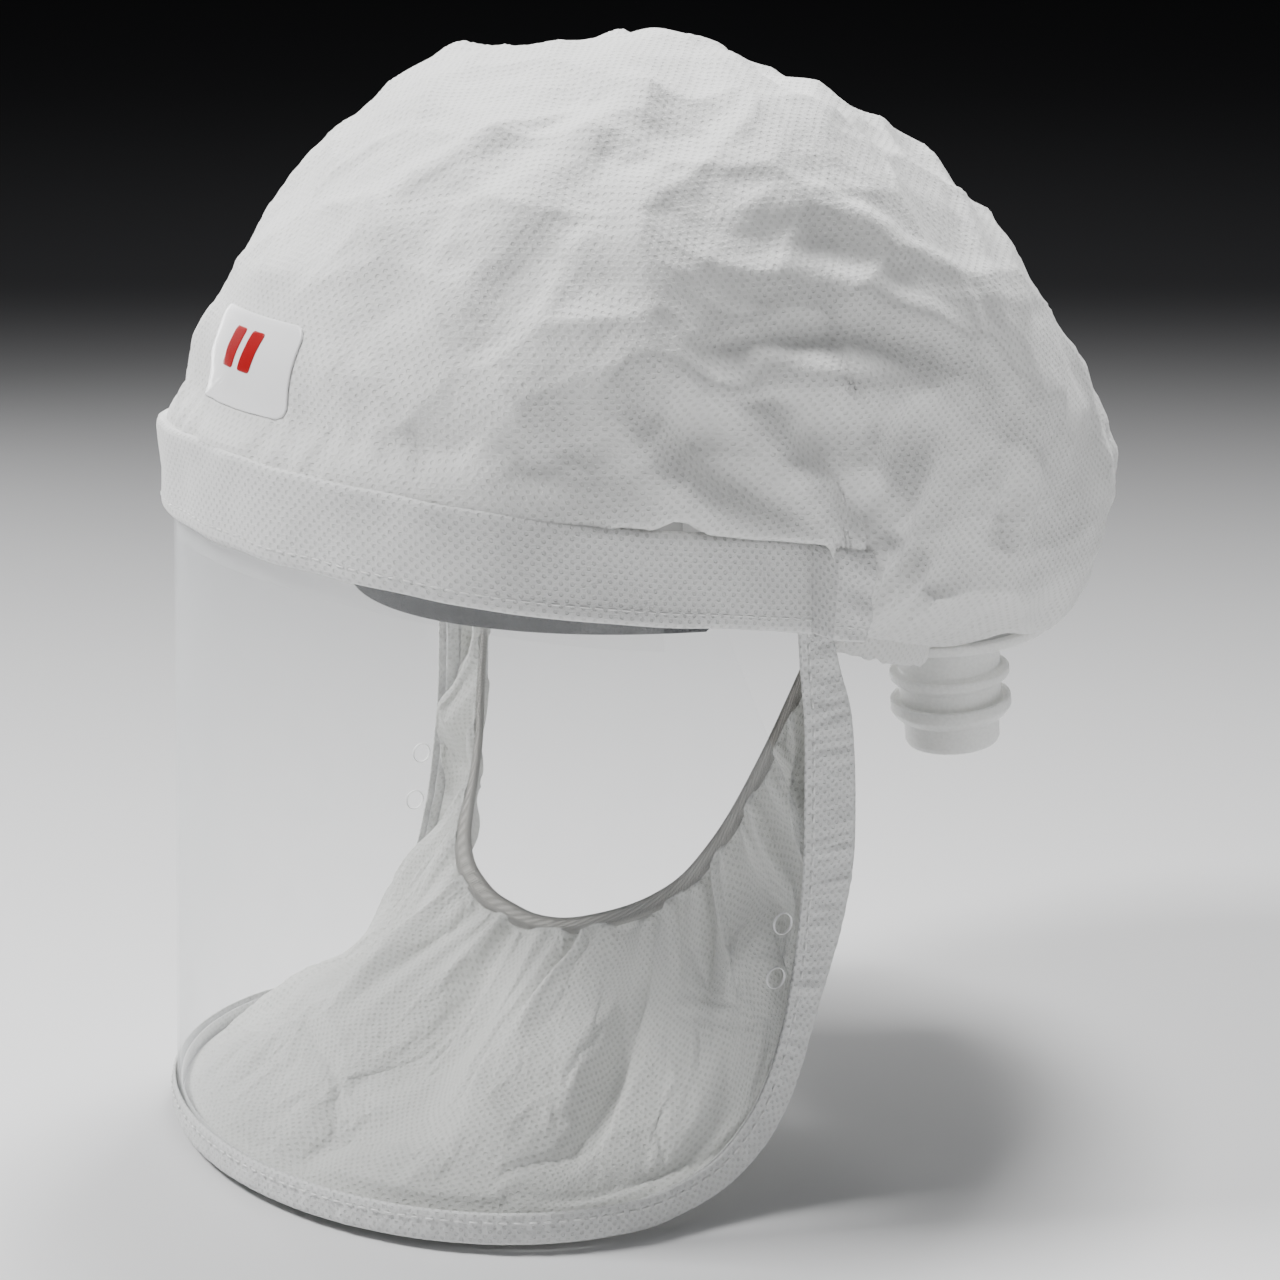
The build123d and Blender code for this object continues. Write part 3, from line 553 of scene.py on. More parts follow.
def hood_columns():
    """Directions round the hood, with each one's lowest tilt that still meets cloth."""
    tree = node_surface("hood_crown", "nape_panel", "brow_band")
    turns = np.linspace(-math.pi, math.pi, HOOD_COLUMNS, endpoint=False)
    lows = []
    for turn in turns:
        tilt = 0.35
        step = 0.006
        while tilt > -1.35 and hood_hit(tree, turn, tilt - step) is not None:
            tilt -= step
        lows.append(tilt)
    lows = np.array(lows)
    smooth = lows.copy()
    for _ in range(6):
        smooth = np.maximum(lows, (np.roll(smooth, 1) + smooth * 2 + np.roll(smooth, -1)) / 4)
    return tree, turns, smooth


def hood_grid():
    """Plain outer surface of the hood, from its lower edge (first row) to the crown."""
    tree, turns, lows = hood_columns()
    shares = np.linspace(0, 1, HOOD_ROWS)
    grid = np.zeros((HOOD_ROWS, HOOD_COLUMNS, 3))
    for j, (turn, low) in enumerate(zip(turns, lows)):
        last = None
        for i, share in enumerate(shares):
            tilt = low + (math.pi / 2 - 0.012 - low) * share
            hit = hood_hit(tree, turn, tilt)
            if hit is None:
                hit = last if last is not None else HOOD_CENTRE
            last = hit
            grid[i, j] = hit
    for _ in range(3):
        grid = (np.roll(grid, 1, axis=1) + grid * 2 + np.roll(grid, -1, axis=1)) / 4
        grid[1:-1] = (grid[:-2] + grid[1:-1] * 2 + grid[2:]) / 4
    return grid


# Big creases of the hood's near side and their rough twins on the far side: points, half width, depth
CREASES = [
    ([(31, -36, 122), (48, -70, 102), (51, -94, 79), (50, -118, 50)], 9, -3.2),
    ([(50, -94, 80), (56, -92, 72), (76, -80, 55), (90, -64, 37), (99, -45, 18), (103, -20, 0)], 6.5, 3.4),
    ([(20, 66, 88), (63, 60, 81), (85, 46, 53), (95, 43, 22), (97, 42, -14)], 4.5, 2.4),
    ([(71, -45, 87), (80, -19, 81), (88, 9, 66), (84, 40, 56)], 6, 2.2),
    ([(83, -66, 55), (93, -41, 46), (98, -12, 40), (99, 20, 34)], 6, -2.8),
    ([(93, -50, 48), (97, -33, 40), (101, -27, 24), (104, -12, 1)], 5, 2.6),
    ([(98, 11, 35), (103, 0, 12), (104, -8, -8)], 5, -2.4),
    ([(51, -118, 44), (40, -136, 34), (20, -146, 36)], 6, 2.0),
    ([(-30, -40, 122), (-55, -66, 96), (-60, -96, 66), (-55, -118, 44)], 9, -3.0),
    ([(-52, -90, 84), (-80, -70, 60), (-98, -44, 26), (-104, -16, 2)], 7, 3.2),
    ([(-60, 62, 82), (-88, 42, 50), (-97, 44, 10), (-95, 40, -14)], 5, 2.4),
    ([(-86, -20, 76), (-97, 8, 48), (-102, 22, 18)], 6, -2.6),
    ([(0, 98, 62), (14, 120, 26), (6, 132, -12)], 6, 2.2),
    ([(-40, 96, 52), (-48, 110, 20), (-30, 122, -20)], 6, -2.4),
    ([(44, 92, 56), (56, 100, 26), (48, 108, -14)], 6, 2.4),
    ([(0, 20, 124), (30, 10, 120), (56, 16, 100)], 7, 2.2),
    ([(-8, -10, 131), (-36, 6, 118), (-64, 12, 94)], 7, -2.2),
]


def crease_depth(points, line, half_width, depth):
    """A soft valley (or ridge, if depth is negative) along a line, fading at its two ends."""
    path = smooth_path(line, 40)
    flat = points.reshape(-1, 3)
    best = np.full(len(flat), 1e9)
    where = np.zeros(len(flat))
    for k, spot in enumerate(path):
        away = np.linalg.norm(flat - spot, axis=1)
        nearer = away < best
        best[nearer] = away[nearer]
        where[nearer] = k / (len(path) - 1)
    ends = step01(where / 0.18) * step01((1 - where) / 0.18)
    sharp = np.exp(-np.abs(best / half_width) ** 1.1)
    shoulder = 0.45 * np.exp(-((best - 2.1 * half_width) / half_width) ** 2)
    return (depth * ends * (shoulder - sharp)).reshape(points.shape[:-1])


def loose_folds(grid, edge_row):
    """Facets, crumples and the big creases, with the whole hood drawn in to make up for them."""
    drift = np.stack([noise_at(grid, 60.0, k * 5.3) for k in range(3)], axis=-1) * 6
    bent = grid + drift
    move = 2.4 * noise_at(grid, 62.0, 7.7) + 2.8 * crease_field(bent, 66.0, 3.1) ** 1.2
    move += 0.6 * noise_at(grid, 24.0, 1.3) + 1.5 * crease_field(bent, 34.0, 9.2) ** 1.8
    move += 0.22 * noise_at(grid, 9.0, 4.4) + 0.4 * crease_field(bent, 15.0, 2.5) ** 1.5
    for line, half_width, depth in CREASES:
        move += crease_depth(bent, line, half_width, CREASE_STRENGTH * depth)
    return move - HOOD_EASE * step01(edge_row / 22)


def ear_gathers(grid, side):
    """Folds that fan out from the end of the band at one ear."""
    spot = grid - np.array([side * EAR[0], EAR[1], EAR[2]])
    away = np.linalg.norm(spot, axis=-1)
    fan = np.arctan2(spot[..., 2] + 6, spot[..., 1] + 0.001)
    fold = np.cos(fan * 15 + 2.5 * noise_at(grid, 26.0, 5.0 + side))
    reach = np.exp(-((away - 12) / 22) ** 2) * step01((grid[..., 1] - BAND_END_Y + 6) / 8)
    return 2.3 * fold * reach - 1.8 * reach


def nape_gathers(grid, edge_row, around):
    """Pleats above the hood's lower edge, behind the ears."""
    gather = np.exp(-edge_row / 15) * step01((grid[..., 1] - EAR[1] + 4) / 12)
    pleat = np.cos(around * 34 + 1.8 * noise_at(grid, 30.0, 2.2))
    return 1.7 * pleat * gather * step01(edge_row / 4)


def sewn_to_casing(shaped, y, edge_row, around):
    """Brings the hood's lower edge onto the nape casing, except at the hose connector."""
    across, back = (NECK_HALF_X - 1) * np.cos(around), (NECK_HALF_Y - 1) * np.sin(around)
    sewn = np.stack([across, NECK_CENTRE_Y + back, -24.0 - 24.5 * np.sin(around)], axis=-1)
    tie = np.exp(-(edge_row / 8) ** 2) * step01((y - EAR[1] + 1) / 7) * step01((78 - y) / 14)
    return shaped + (sewn - shaped) * tie[..., None]


def shape_hood(grid):
    """Turns the plain surface into loose cloth: facets, creases and the gathers at the ears and nape."""
    normal = -grid_normals(grid, closed=True)
    if (normal * unit(grid - HOOD_CENTRE)).sum() < 0:
        normal = -normal
    x, y, z = np.moveaxis(grid, -1, 0)
    front = step01((BAND_END_Y + 14 - y) / 30)
    above_ridge = z - (hem_z(y) + BAND_HEIGHT)
    edge_row = np.linalg.norm(grid - grid[:1], axis=-1)
    around = np.arctan2((y - NECK_CENTRE_Y) / NECK_HALF_Y, x / NECK_HALF_X)

    top_fade = step01((HOOD_ROWS - 1 - np.arange(HOOD_ROWS))[:, None] / 14)
    loose = np.where(front > 0.5, step01(above_ridge / 16), 1.0) * top_fade
    label = np.exp(-((x / 30) ** 4 + ((z - 50) / 22) ** 4)) * (y < -90)
    move = loose_folds(grid, edge_row) * loose * (1 - 0.85 * label)
    tuck = -5.0 * np.exp(-((above_ridge - 13) / 10) ** 2) * step01((-60 - y) / 60)
    move += tuck * (above_ridge > 0)
    move += ear_gathers(grid, -1) + ear_gathers(grid, 1)
    move += nape_gathers(grid, edge_row, around)
    cover = step01((8 - np.abs(y - (BAND_END_Y + 6))) / 7) * step01((6 - above_ridge) / 6)
    move += 3.6 * cover * (y > BAND_END_Y + 1)
    move[(y < BAND_END_Y + 1) & (above_ridge < 1.0)] = UNDER_BAND
    return sewn_to_casing(grid + normal * move[..., None], y, edge_row, around)


def throat_free(p):
    """Which faces of the hood's grid stay clear of the connector's throat."""
    tilt = math.radians(CONNECTOR_TILT)
    axis = np.array([0, -math.sin(tilt), math.cos(tilt)])
    spot = p - np.array([0, CONNECTOR_Y, CONNECTOR_Z])
    along = spot @ axis
    away = np.linalg.norm(spot - along[..., None] * axis, axis=-1)
    return ~((away < 18.5) & (np.abs(along) < 16))


def make_hood():
    shaped = shape_hood(hood_grid())
    clear = throat_free(shaped)
    keep = clear[:-1] & clear[1:] & np.roll(clear, -1, axis=1)[:-1] & np.roll(clear, -1, axis=1)[1:]
    hood = grid_object("hood_cloth", shaped, closed=True, keep=keep)
    work = bmesh.new()
    work.from_mesh(hood.data)
    rim = [e for e in work.edges if e.is_boundary and min(v.co.z for v in e.verts) > 0.11]
    bmesh.ops.holes_fill(work, edges=rim, sides=0)
    bmesh.ops.triangulate(work, faces=[f for f in work.faces if len(f.verts) > 4])
    bmesh.ops.recalc_face_normals(work, faces=work.faces)
    work.to_mesh(hood.data)
    work.free()
    thicken(hood, HOOD_THICK, -1.0)
    place(hood, HOOD_CLOTH, replaces=("hood_crown", "nape_panel"))


# Brow band

def band_path(offset, count, rise):
    """Plan line of the band at one height above its hem, from the right ear round to the left."""
    line = []
    for turn in np.linspace(math.pi, 0, 60):
        line.append(u_point(offset, 0, turn)[:2])
    right = [(line[0][0], y) for y in np.linspace(BAND_END_Y, VISOR_NOSE_Y, 9)[:-1]]
    left = [(line[-1][0], y) for y in np.linspace(VISOR_NOSE_Y, BAND_END_Y, 9)[1:]]
    plan = smooth_path(np.array(right + line + left), count)
    z = hem_z(plan[:, 1]) + rise
    return np.column_stack([plan, z])


BAND_COLUMNS = 520


def make_band():
    """Folded band: in at the hem, flat over the visor's top edge, and rolled over at the ridge."""
    rises = [4.2, 1.8, 1.2, 1.8, 2.6, 4, 6, 8, 10, 12, 14, 16, 18, 20, 22, 24, 25.6, 26.4, 26.2, 25.2, 23.8]
    offsets = [1.3, 1.5, 2.4, 3.2, 3.4, 3.4, 3.2, 3.1, 3.1, 3.0, 3.1, 3.1, 3.2, 3.3, 3.4, 3.5, 3.3, 2.2, 0.9,
               -0.6, -1.8]
    rows = np.array([band_path(offset, BAND_COLUMNS, rise) for rise, offset in zip(rises, offsets)])
    outward = rows - np.array([0, -60, 0])
    outward[..., 2] = 0
    side = unit(outward)
    height = np.array(rises)[:, None] / BAND_HEIGHT
    sway = 1.5 * noise_at(rows * np.array([1, 1, 0.5]), 38.0, 2.0) + 0.7 * noise_at(rows, 15.0, 6.0)
    ends = step01((rows[..., 1] - (BAND_END_Y - 34)) / 30)
    pucker = 0.9 * noise_at(rows * np.array([1.0, 1.0, 0.25]), 6.5, 8.0) * ends
    rows = rows + side * ((sway * 0.8 + pucker) * np.minimum(1, height * 3 + 0.25))[..., None]
    tree = node_surface("hood_crown", "nape_panel", "brow_band")
    for i, j in zip(*np.nonzero(rows[..., 1] > BAND_END_Y - 26)):
        x, y, z = rows[i, j]
        way = math.copysign(1.0, x)
        hit, _, _, _ = tree.ray_cast(Vector((way * 200, y, max(z, -19.5))) * MM, Vector((-way, 0, 0)), 0.15)
        if hit is not None:
            share = step01((y - (BAND_END_Y - 26)) / 16)
            wave = 0.8 * math.sin(z * 0.55 + 0.25 * y) * step01((y - (BAND_END_Y - 12)) / 8)
            layer = (offsets[i] - 3.2) * 0.6 + 0.2 + wave
            rows[i, j, 0] = x * (1 - share) + way * (abs(hit.x) / MM + layer) * share
    rows[..., 2] += 0.5 * noise_at(rows * np.array([1, 1, 0.1]), 22.0, 4.0)
    band = grid_object("brow_band_cloth", rows)
    thicken(band, BAND_THICK)
    place(band, BAND_CLOTH, replaces=("brow_band",))
    return rows


def at_run(s, run, path):
    """The path's value at one running length."""
    return np.array([np.interp(s, run, path[:, k]) for k in range(3)])


def stitch_line(name, path, sides, length, gap, radius):
    """Row of short rounded stitches lying on a surface; sides are the outward directions along the path."""
    path = np.array(path, float)
    run = run_along(path)
    work = bmesh.new()
    start = gap
    while start + length < run[-1]:
        ends = [at_run(s, run, path) for s in (start, start + length)]
        out = unit(at_run(start + length / 2, run, sides))
        along = unit(ends[1] - ends[0])
        across = np.cross(along, out)
        rings = []
        for share, size in ((0, 0.25), (0.12, 0.8), (0.5, 1.0), (0.88, 0.8), (1, 0.25)):
            middle = ends[0] + (ends[1] - ends[0]) * share + out * radius * 0.5 * size
            ring = []
            for k in range(6):
                a = 2 * math.pi * k / 6
                spot = middle + (across * math.cos(a) + out * math.sin(a) * 0.7) * radius * size
                ring.append(work.verts.new(spot * MM))
            rings.append(ring)
        for a, b in zip(rings[:-1], rings[1:]):
            for k in range(6):
                work.faces.new((a[k], a[(k + 1) % 6], b[(k + 1) % 6], b[k]))
        work.faces.new(rings[0][::-1])
        work.faces.new(rings[-1])
        start += length + gap
    return place(mesh_object(name, work), THREAD)


def band_stitches(rows):
    """Stitches a few millimetres above the band's hem."""
    row = rows[6] * 0.5 + rows[5] * 0.5
    out = row - np.array([0, -60, 0])
    out[:, 2] = 0
    out = unit(out)
    stitch_line("band_stitches", row + out * 0.25, out, 2.6, 1.3, 0.28)


# Chin skirt, elastic and binding

def seal_stations(count):
    """Matching points along the face seal and along the skirt's hem, from ear to ear."""
    seal = mirror_path(FACE_SEAL)
    hem = [u_point(-SKIRT_INSET, SKIRT_NOSE_Z, math.radians(a)) for a in SKIRT_NOSE_ANGLES]
    hem += [u_side(-SKIRT_INSET, y, z) for y, z in SKIRT_SIDE[:-1]]
    tied = np.column_stack([seal, mirror_path(hem)])
    fine = smooth_path(tied, count)
    return fine[:, :3], fine[:, 3:]


SKIRT_COLUMNS, SKIRT_ROWS, SKIRT_FRAMES = 720, 70, 8


def settle(obj, rows, columns, frames):
    """Lets the gathered cloth hang between its two sewn edges for a moment."""
    pins = obj.vertex_groups.new(name="sewn")
    pins.add(list(range(2 * columns)), 1.0, "REPLACE")
    pins.add(list(range((rows - 3) * columns, rows * columns)), 1.0, "REPLACE")
    pins.add([i * columns + j for i in range(rows) for j in (0, columns - 1)], 1.0, "REPLACE")
    mod = obj.modifiers.new("hang", "CLOTH")
    cloth = mod.settings
    cloth.quality = 5
    cloth.mass = 0.02
    cloth.tension_stiffness = cloth.compression_stiffness = 12
    cloth.shear_stiffness = 6
    cloth.bending_stiffness = 0.6
    cloth.air_damping = 5
    cloth.shrink_min = -0.02
    cloth.effector_weights.gravity = 0.15
    cloth.vertex_group_mass = pins.name
    mod.collision_settings.use_collision = False
    mod.point_cache.frame_start = 1
    mod.point_cache.frame_end = frames
    for frame_number in range(1, frames + 1):
        bpy.context.scene.frame_set(frame_number)
    bpy.context.view_layer.objects.active = obj
    with bpy.context.temp_override(object=obj, active_object=obj, selected_objects=[obj]):
        bpy.ops.object.modifier_apply(modifier=mod.name)
    bpy.context.scene.frame_set(1)


def make_skirt():
    """Skirt gathered on the elastic and spreading in soft folds to the visor's edge."""
    seal, hem = seal_stations(SKIRT_COLUMNS)
    across = hem - seal
    reach = np.linalg.norm(across, axis=1)
    run = run_along(seal)
    run -= run[-1] / 2
    t = np.linspace(0, 1, SKIRT_ROWS) ** 1.25
    grid = seal[None] + across[None] * (5.0 / reach + (1 - 5.0 / reach) * t[:, None])[..., None]
    normal = grid_normals(grid)
    middle = SKIRT_COLUMNS // 2
    if normal[SKIRT_ROWS // 2, middle, 2] < 0:
        normal = -normal
    far = t[:, None] * reach[None]
    wander = np.array([[noise.noise(Vector((r / 17, 0.7, f / 60))) for r in run] for f in t * 110])
    fine = np.cos((run[None] + 5 * wander) * 2 * math.pi / 8.5)
    mid = np.cos((run[None] + 9 * wander) * 2 * math.pi / 21 + 0.8)
    wide = np.cos((run[None] + 14 * wander) * 2 * math.pi / 47 + 2.1)
    crisp = np.sign(fine) * np.abs(fine) ** 0.7
    move = 1.9 * crisp * np.exp(-far / 20) * step01(far / 2.5)
    move += 3.6 * mid * np.exp(-((far - 28) / 28) ** 2)
    move += 6.5 * wide * step01(far / 34) * np.sin(math.pi * np.minimum(1, far / reach[None])) ** 0.8
    move += 1.2 * noise_at(grid, 24.0, 3.3) * np.sin(math.pi * t[:, None])
    move -= 2.2 * crease_field(grid, 48.0, 5.5) * np.sin(math.pi * t[:, None])
    sag = -1.5 * np.sin(math.pi * t[:, None]) * step01(reach[None] / 60)
    room = np.minimum(1.0, reach[None] / 46) * step01((1 - t[:, None]) / 0.10)
    grid = grid + normal * ((move + sag) * room)[..., None]
    skirt = grid_object("chin_skirt_cloth", grid)
    settle(skirt, SKIRT_ROWS, SKIRT_COLUMNS, SKIRT_FRAMES)
    thicken(skirt, SKIRT_THICK)
    place(skirt, SKIRT_CLOTH, replaces=("chin_skirt",))


def make_elastic():
    """Elastic band with raised overlock threads and a row of beads on the skirt's side."""
    columns, rows = 2400, 11
    seal, hem = seal_stations(columns)
    across = unit(hem - seal)
    along = unit(np.gradient(seal, axis=0))
    normal = unit(np.cross(along, across))
    run = run_along(seal)
    wobble = np.array([noise.noise(Vector((r / 14, 3.0, 0))) for r in run])
    ring = []
    for k in range(2 * rows):
        a = 2 * math.pi * k / (2 * rows)
        w = math.copysign(abs(math.cos(a)) ** 0.5, math.cos(a))
        h = math.copysign(abs(math.sin(a)) ** 0.9, math.sin(a))
        rib = 0.16 * np.cos(2 * math.pi * (run + 0.5 * w) / 1.15)
        width = 3.0 * w + 3.0 + 0.4 * wobble
        lift = (0.75 + rib) * h + 0.35 * math.exp(-((w - 0.8) / 0.2) ** 2) * np.sign(h)
        ring.append(seal + across * width[:, None] + normal * lift[:, None])
    place(tube("face_seal_band", ring), OVERLOCK, replaces=("face_seal_elastic",))


def tape_edges(offset, count):
    """Outer and inner edge of the binding, from ear to ear by way of the nose."""
    outer = [u_side(offset, y, z) for y, z in TAPE_OUTER]
    inner = [u_side(offset, y, z) for y, z in TAPE_INNER]
    turns = np.radians(np.arange(9, 91, 9))
    outer += [u_point(offset, TAPE_OUTER[-1][1], a) for a in turns]
    inner += [u_point(offset, TAPE_INNER[-1][1], a) for a in turns]
    tied = mirror_path(np.column_stack([outer, inner])[::-1])
    tied[:len(outer) - 1, 3] *= -1
    fine = smooth_path(tied, count)
    return fine[:, :3], fine[:, 3:]


TAPE_COLUMNS = 1100


def tape_outward(outer, inner):
    """Directions straight out of the visor along the tape."""
    middle = (outer + inner) / 2
    out = middle.copy()
    out[:, 0] = middle[:, 0] / VISOR_HALF_WIDTH ** 2
    out[:, 1] = np.minimum(middle[:, 1] - VISOR_NOSE_Y, 0) / VISOR_NOSE_DEPTH ** 2
    out[:, 2] = 0
    return unit(out)


def make_tape():
    """Binding folded over the visor's edge: outside layer, round edge and inside layer."""
    outer, inner = tape_edges(0.35, TAPE_COLUMNS)
    out = tape_outward(outer, inner)
    across = inner - outer
    width = np.linalg.norm(across, axis=1)
    profile = [(1.0, 0.9), (0.96, 1.4), (0.85, 1.5), (0.7, 1.5), (0.55, 1.6), (0.4, 1.7), (0.25, 1.7),
               (0.12, 1.6), (0.04, 1.2), (0.0, 0.4), (0.03, -0.5), (0.12, -1.0), (0.35, -1.2), (0.65, -1.2),
               (0.9, -1.1)]
    rows = []
    for share, lift in profile:
        rows.append(outer + across * share + out * lift * (1 if lift > 0 else 0.9))
    rows = np.array(rows)
    along = run_along(outer)
    crinkle = np.zeros(rows.shape[:2])
    for i, (share, lift) in enumerate(profile):
        for j in range(TAPE_COLUMNS):
            a = noise.noise(Vector((along[j] / 2.6, share * 1.6, 1.0)))
            b = noise.noise(Vector((along[j] / 7.0, share * 1.1, 5.0)))
            crinkle[i, j] = 1.0 * a + 0.8 * b
    strength = np.where(np.abs(outer[:, 2]) < 150, 1.0, 0.45)
    face = np.array([math.sin(math.pi * min(1, max(0, s))) ** 0.5 if l > 0 else 0.2 for s, l in profile])
    rows = rows + out[None] * (crinkle * strength[None] * face[:, None])[..., None]
    tape = grid_object("binding_tape", rows)
    thicken(tape, TAPE_THICK)
    covered = ("side_binding_left", "side_binding_right", "bottom_binding")
    place(tape, TAPE_CLOTH, replaces=covered)
    seam_share = np.clip(1 - 2.4 / width, 0.5, 0.9)[:, None]
    seam = outer + across * seam_share + out * 1.75
    stitch_line("binding_stitches", seam + out * 0.15, out, 2.4, 1.6, 0.34)


# Nape casing

def make_casing():
    """Gathered casing round the nape: a soft ruffled tube that follows the neck opening."""
    columns, rows = 620, 18
    turn = np.linspace(-0.02, math.pi + 0.02, columns)
    half_x, half_y = NECK_HALF_X - 2.2, NECK_HALF_Y - 2.2
    ear_z, back_z = -25.5, -50.0
    line = np.column_stack([half_x * np.cos(turn), NECK_CENTRE_Y + half_y * np.sin(turn),
                            ear_z + (back_z - ear_z) * np.sin(turn)])
    along = unit(np.gradient(line, axis=0))
    out = unit(np.column_stack([np.cos(turn) / half_x, np.sin(turn) / half_y, 0 * turn]))
    up = unit(np.cross(out, along))
    run = run_along(line)
    ring = []
    for k in range(rows):
        a = 2 * math.pi * k / rows
        c, s = math.cos(a), math.sin(a)
        ruffle = np.array([noise.noise(Vector((r / 4.2, c * 0.9, s * 0.9 + 4))) for r in run])
        size = 1 + 0.30 * ruffle
        ring.append(line + out * (1.8 * c * size)[:, None] + up * (4.2 * s * size)[:, None])
    covered = ("nape_casing", "nape_elastic")
    place(tube("nape_casing_cloth", ring), HOOD_CLOTH, replaces=covered)


# Label

def rounded_outline(half_x, half_z, radius, slant=0.0):
    """Rounded rectangle about its own centre, as closely spaced (x, z) points."""
    outline = []
    for corner_x, corner_z, start in ((1, 1, 0), (-1, 1, 90), (-1, -1, 180), (1, -1, 270)):
        for step in range(7):
            a = math.radians(start + 15 * step)
            dx = corner_x * (half_x - radius) + radius * math.cos(a)
            dz = corner_z * (half_z - radius) + radius * math.sin(a)
            outline.append(np.array([dx + slant * dz, dz]))
    dense = []
    for a, b in zip(outline, outline[1:] + outline[:1]):
        for t in np.arange(0, 1, 1 / max(1, round(np.linalg.norm(b - a) / 1.2))):
            dense.append(a * (1 - t) + b * t)
    return dense


def patch(tree, name, centre, outline, lift, thickness, material):
    """Thin piece that lies on the front of the hood."""
    work = bmesh.new()
    rings = []
    for share in (1.0, 0.97, 0.86, 0.73, 0.6, 0.47, 0.34, 0.2, 0.08):
        ring = []
        for dx, dz in outline:
            start = Vector(((centre[0] + dx * share) * MM, -0.4, (centre[1] + dz * share) * MM))
            hit, normal, _, _ = tree.ray_cast(start, Vector((0, 1, 0)), 0.4)
            edge = 0.5 if share == 1.0 else 1.0
            ring.append(work.verts.new(hit + normal * (lift + thickness * edge) * MM))
        rings.append(ring)
    for a, b in zip(rings[:-1], rings[1:]):
        for k in range(len(a)):
            work.faces.new((a[k], a[(k + 1) % len(a)], b[(k + 1) % len(a)], b[k]))
    work.faces.new(rings[-1])
    obj = mesh_object(name, work)
    thicken(obj, thickness, -1.0)
    return place(obj, material)


def make_label():
    """Rounded label on the brow with a plain red two-bar mark."""
    hood = bpy.data.objects["hood_cloth"].data
    verts = [v.co.copy() for v in hood.vertices]
    tree = BVHTree.FromPolygons(verts, [list(p.vertices) for p in hood.polygons])
    outline = rounded_outline(23.0, 12.0, 4.0)
    label = patch(tree, "brow_label", (-3.0, LABEL_Z), outline, 0.3, 0.25, LABEL_WHITE_AND_HOLE_GLINT)
    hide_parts("front_label")
    bar = rounded_outline(3.2, 5.2, 1.0, 0.25)
    for k, x in enumerate((-9.0, 0.5)):
        patch(tree, f"label_bar_{k + 1}", (x, LABEL_Z + 3), bar, 0.62, 0.12, LABEL_RED)


def make_hole_glint_rings():
    """Rings at the polished edges of the visor's four corner holes, whose white colour is a painted
    highlight.
    """
    for side in (-1, 1):
        for k, (y, z) in enumerate(VISOR_HOLES):
            middle = u_side(0.35, y, z)
            rows = []
            for a in np.linspace(0, 2 * math.pi, 40, endpoint=False):
                ring = []
                for b in np.linspace(0, 2 * math.pi, 10, endpoint=False):
                    r = 2.95 + 0.20 * math.cos(b)
                    ring.append(middle * np.array([side, 1, 1])
                                + np.array([0.48 * math.sin(b), r * math.cos(a), r * math.sin(a)]))
                rows.append(ring)
            rows.append(rows[0])
            hand = "left" if side > 0 else "right"
            rim = grid_object(f"hole_rim_{hand}_{k + 1}", np.array(rows), closed=True)
            close_up(rim, weld=True)
            # Opaque white on a clear polished edge: painted highlight
            place(rim, LABEL_WHITE_AND_HOLE_GLINT)


# Connector and pads

def lathe(name, profile, segments=128):
    """Closed solid turned about the connector's axis from (radius, height) points."""
    tilt = math.radians(CONNECTOR_TILT)
    turn = np.linspace(0, 2 * math.pi, segments, endpoint=False)
    rows = []
    for r, h in profile:
        x, y = r * np.cos(turn), r * np.sin(turn)
        rows.append(np.column_stack([x, CONNECTOR_Y + y * math.cos(tilt) - h * math.sin(tilt),
                                     CONNECTOR_Z + y * math.sin(tilt) + h * math.cos(tilt)]))
    rows.append(rows[0])
    return close_up(grid_object(name, np.array(rows), closed=True), weld=True)


def round_corners(points, radius, steps=4):
    """Rounds each corner of a closed outline, by less than the radius where its sides are short."""
    p = np.array(points, float)
    out = []
    for i in range(len(p)):
        before, here, after = p[i - 1], p[i], p[(i + 1) % len(p)]
        to_before, to_after = before - here, after - here
        size = min(radius, 0.45 * np.linalg.norm(to_before), 0.45 * np.linalg.norm(to_after))
        a, b = here + unit(to_before) * size, here + unit(to_after) * size
        for t in np.linspace(0, 1, steps + 1):
            out.append(a * (1 - t) ** 2 + here * 2 * t * (1 - t) + b * t ** 2)
    return out


def make_connector():
    profile = [(12.5, 14), (17, 14), (17, 0.0), (32, 0.0), (32, -3), (20.3, -3.2), (20.3, -6), (15.8, -6.6),
               (15.7, -15.8), (16.6, -16.5), (18.5, -16.6), (18.6, -19.2), (16.6, -20.4), (15.8, -21.2),
               (15.7, -26.8), (16.9, -27.2), (17.2, -26.0), (18.6, -25.8), (18.8, -29.4), (17.0, -31.8),
               (14.8, -32.6), (14.65, -39.6), (13.8, -41.0), (12.5, -41.0)]
    connector = lathe("hose_connector_body", round_corners(profile, 0.8))
    place(connector, MILKY, replaces=("hose_connector",))


def ring_path(offset, start_y, front, count):
    """Headband line: front half (front=True) or rear half, between start_y on both sides."""
    half = 80.0 + offset
    depth = 100.0 + offset if front else 60.0 + offset
    centre = 0.0 if front else 40.0
    reach = abs(start_y - centre) / depth
    edge = math.asin(min(1.0, reach))
    turns = np.linspace(edge, math.pi - edge, count)
    sign = -1 if front else 1
    return np.column_stack([half * np.cos(turns), centre + sign * depth * np.sin(turns), 0 * turns])


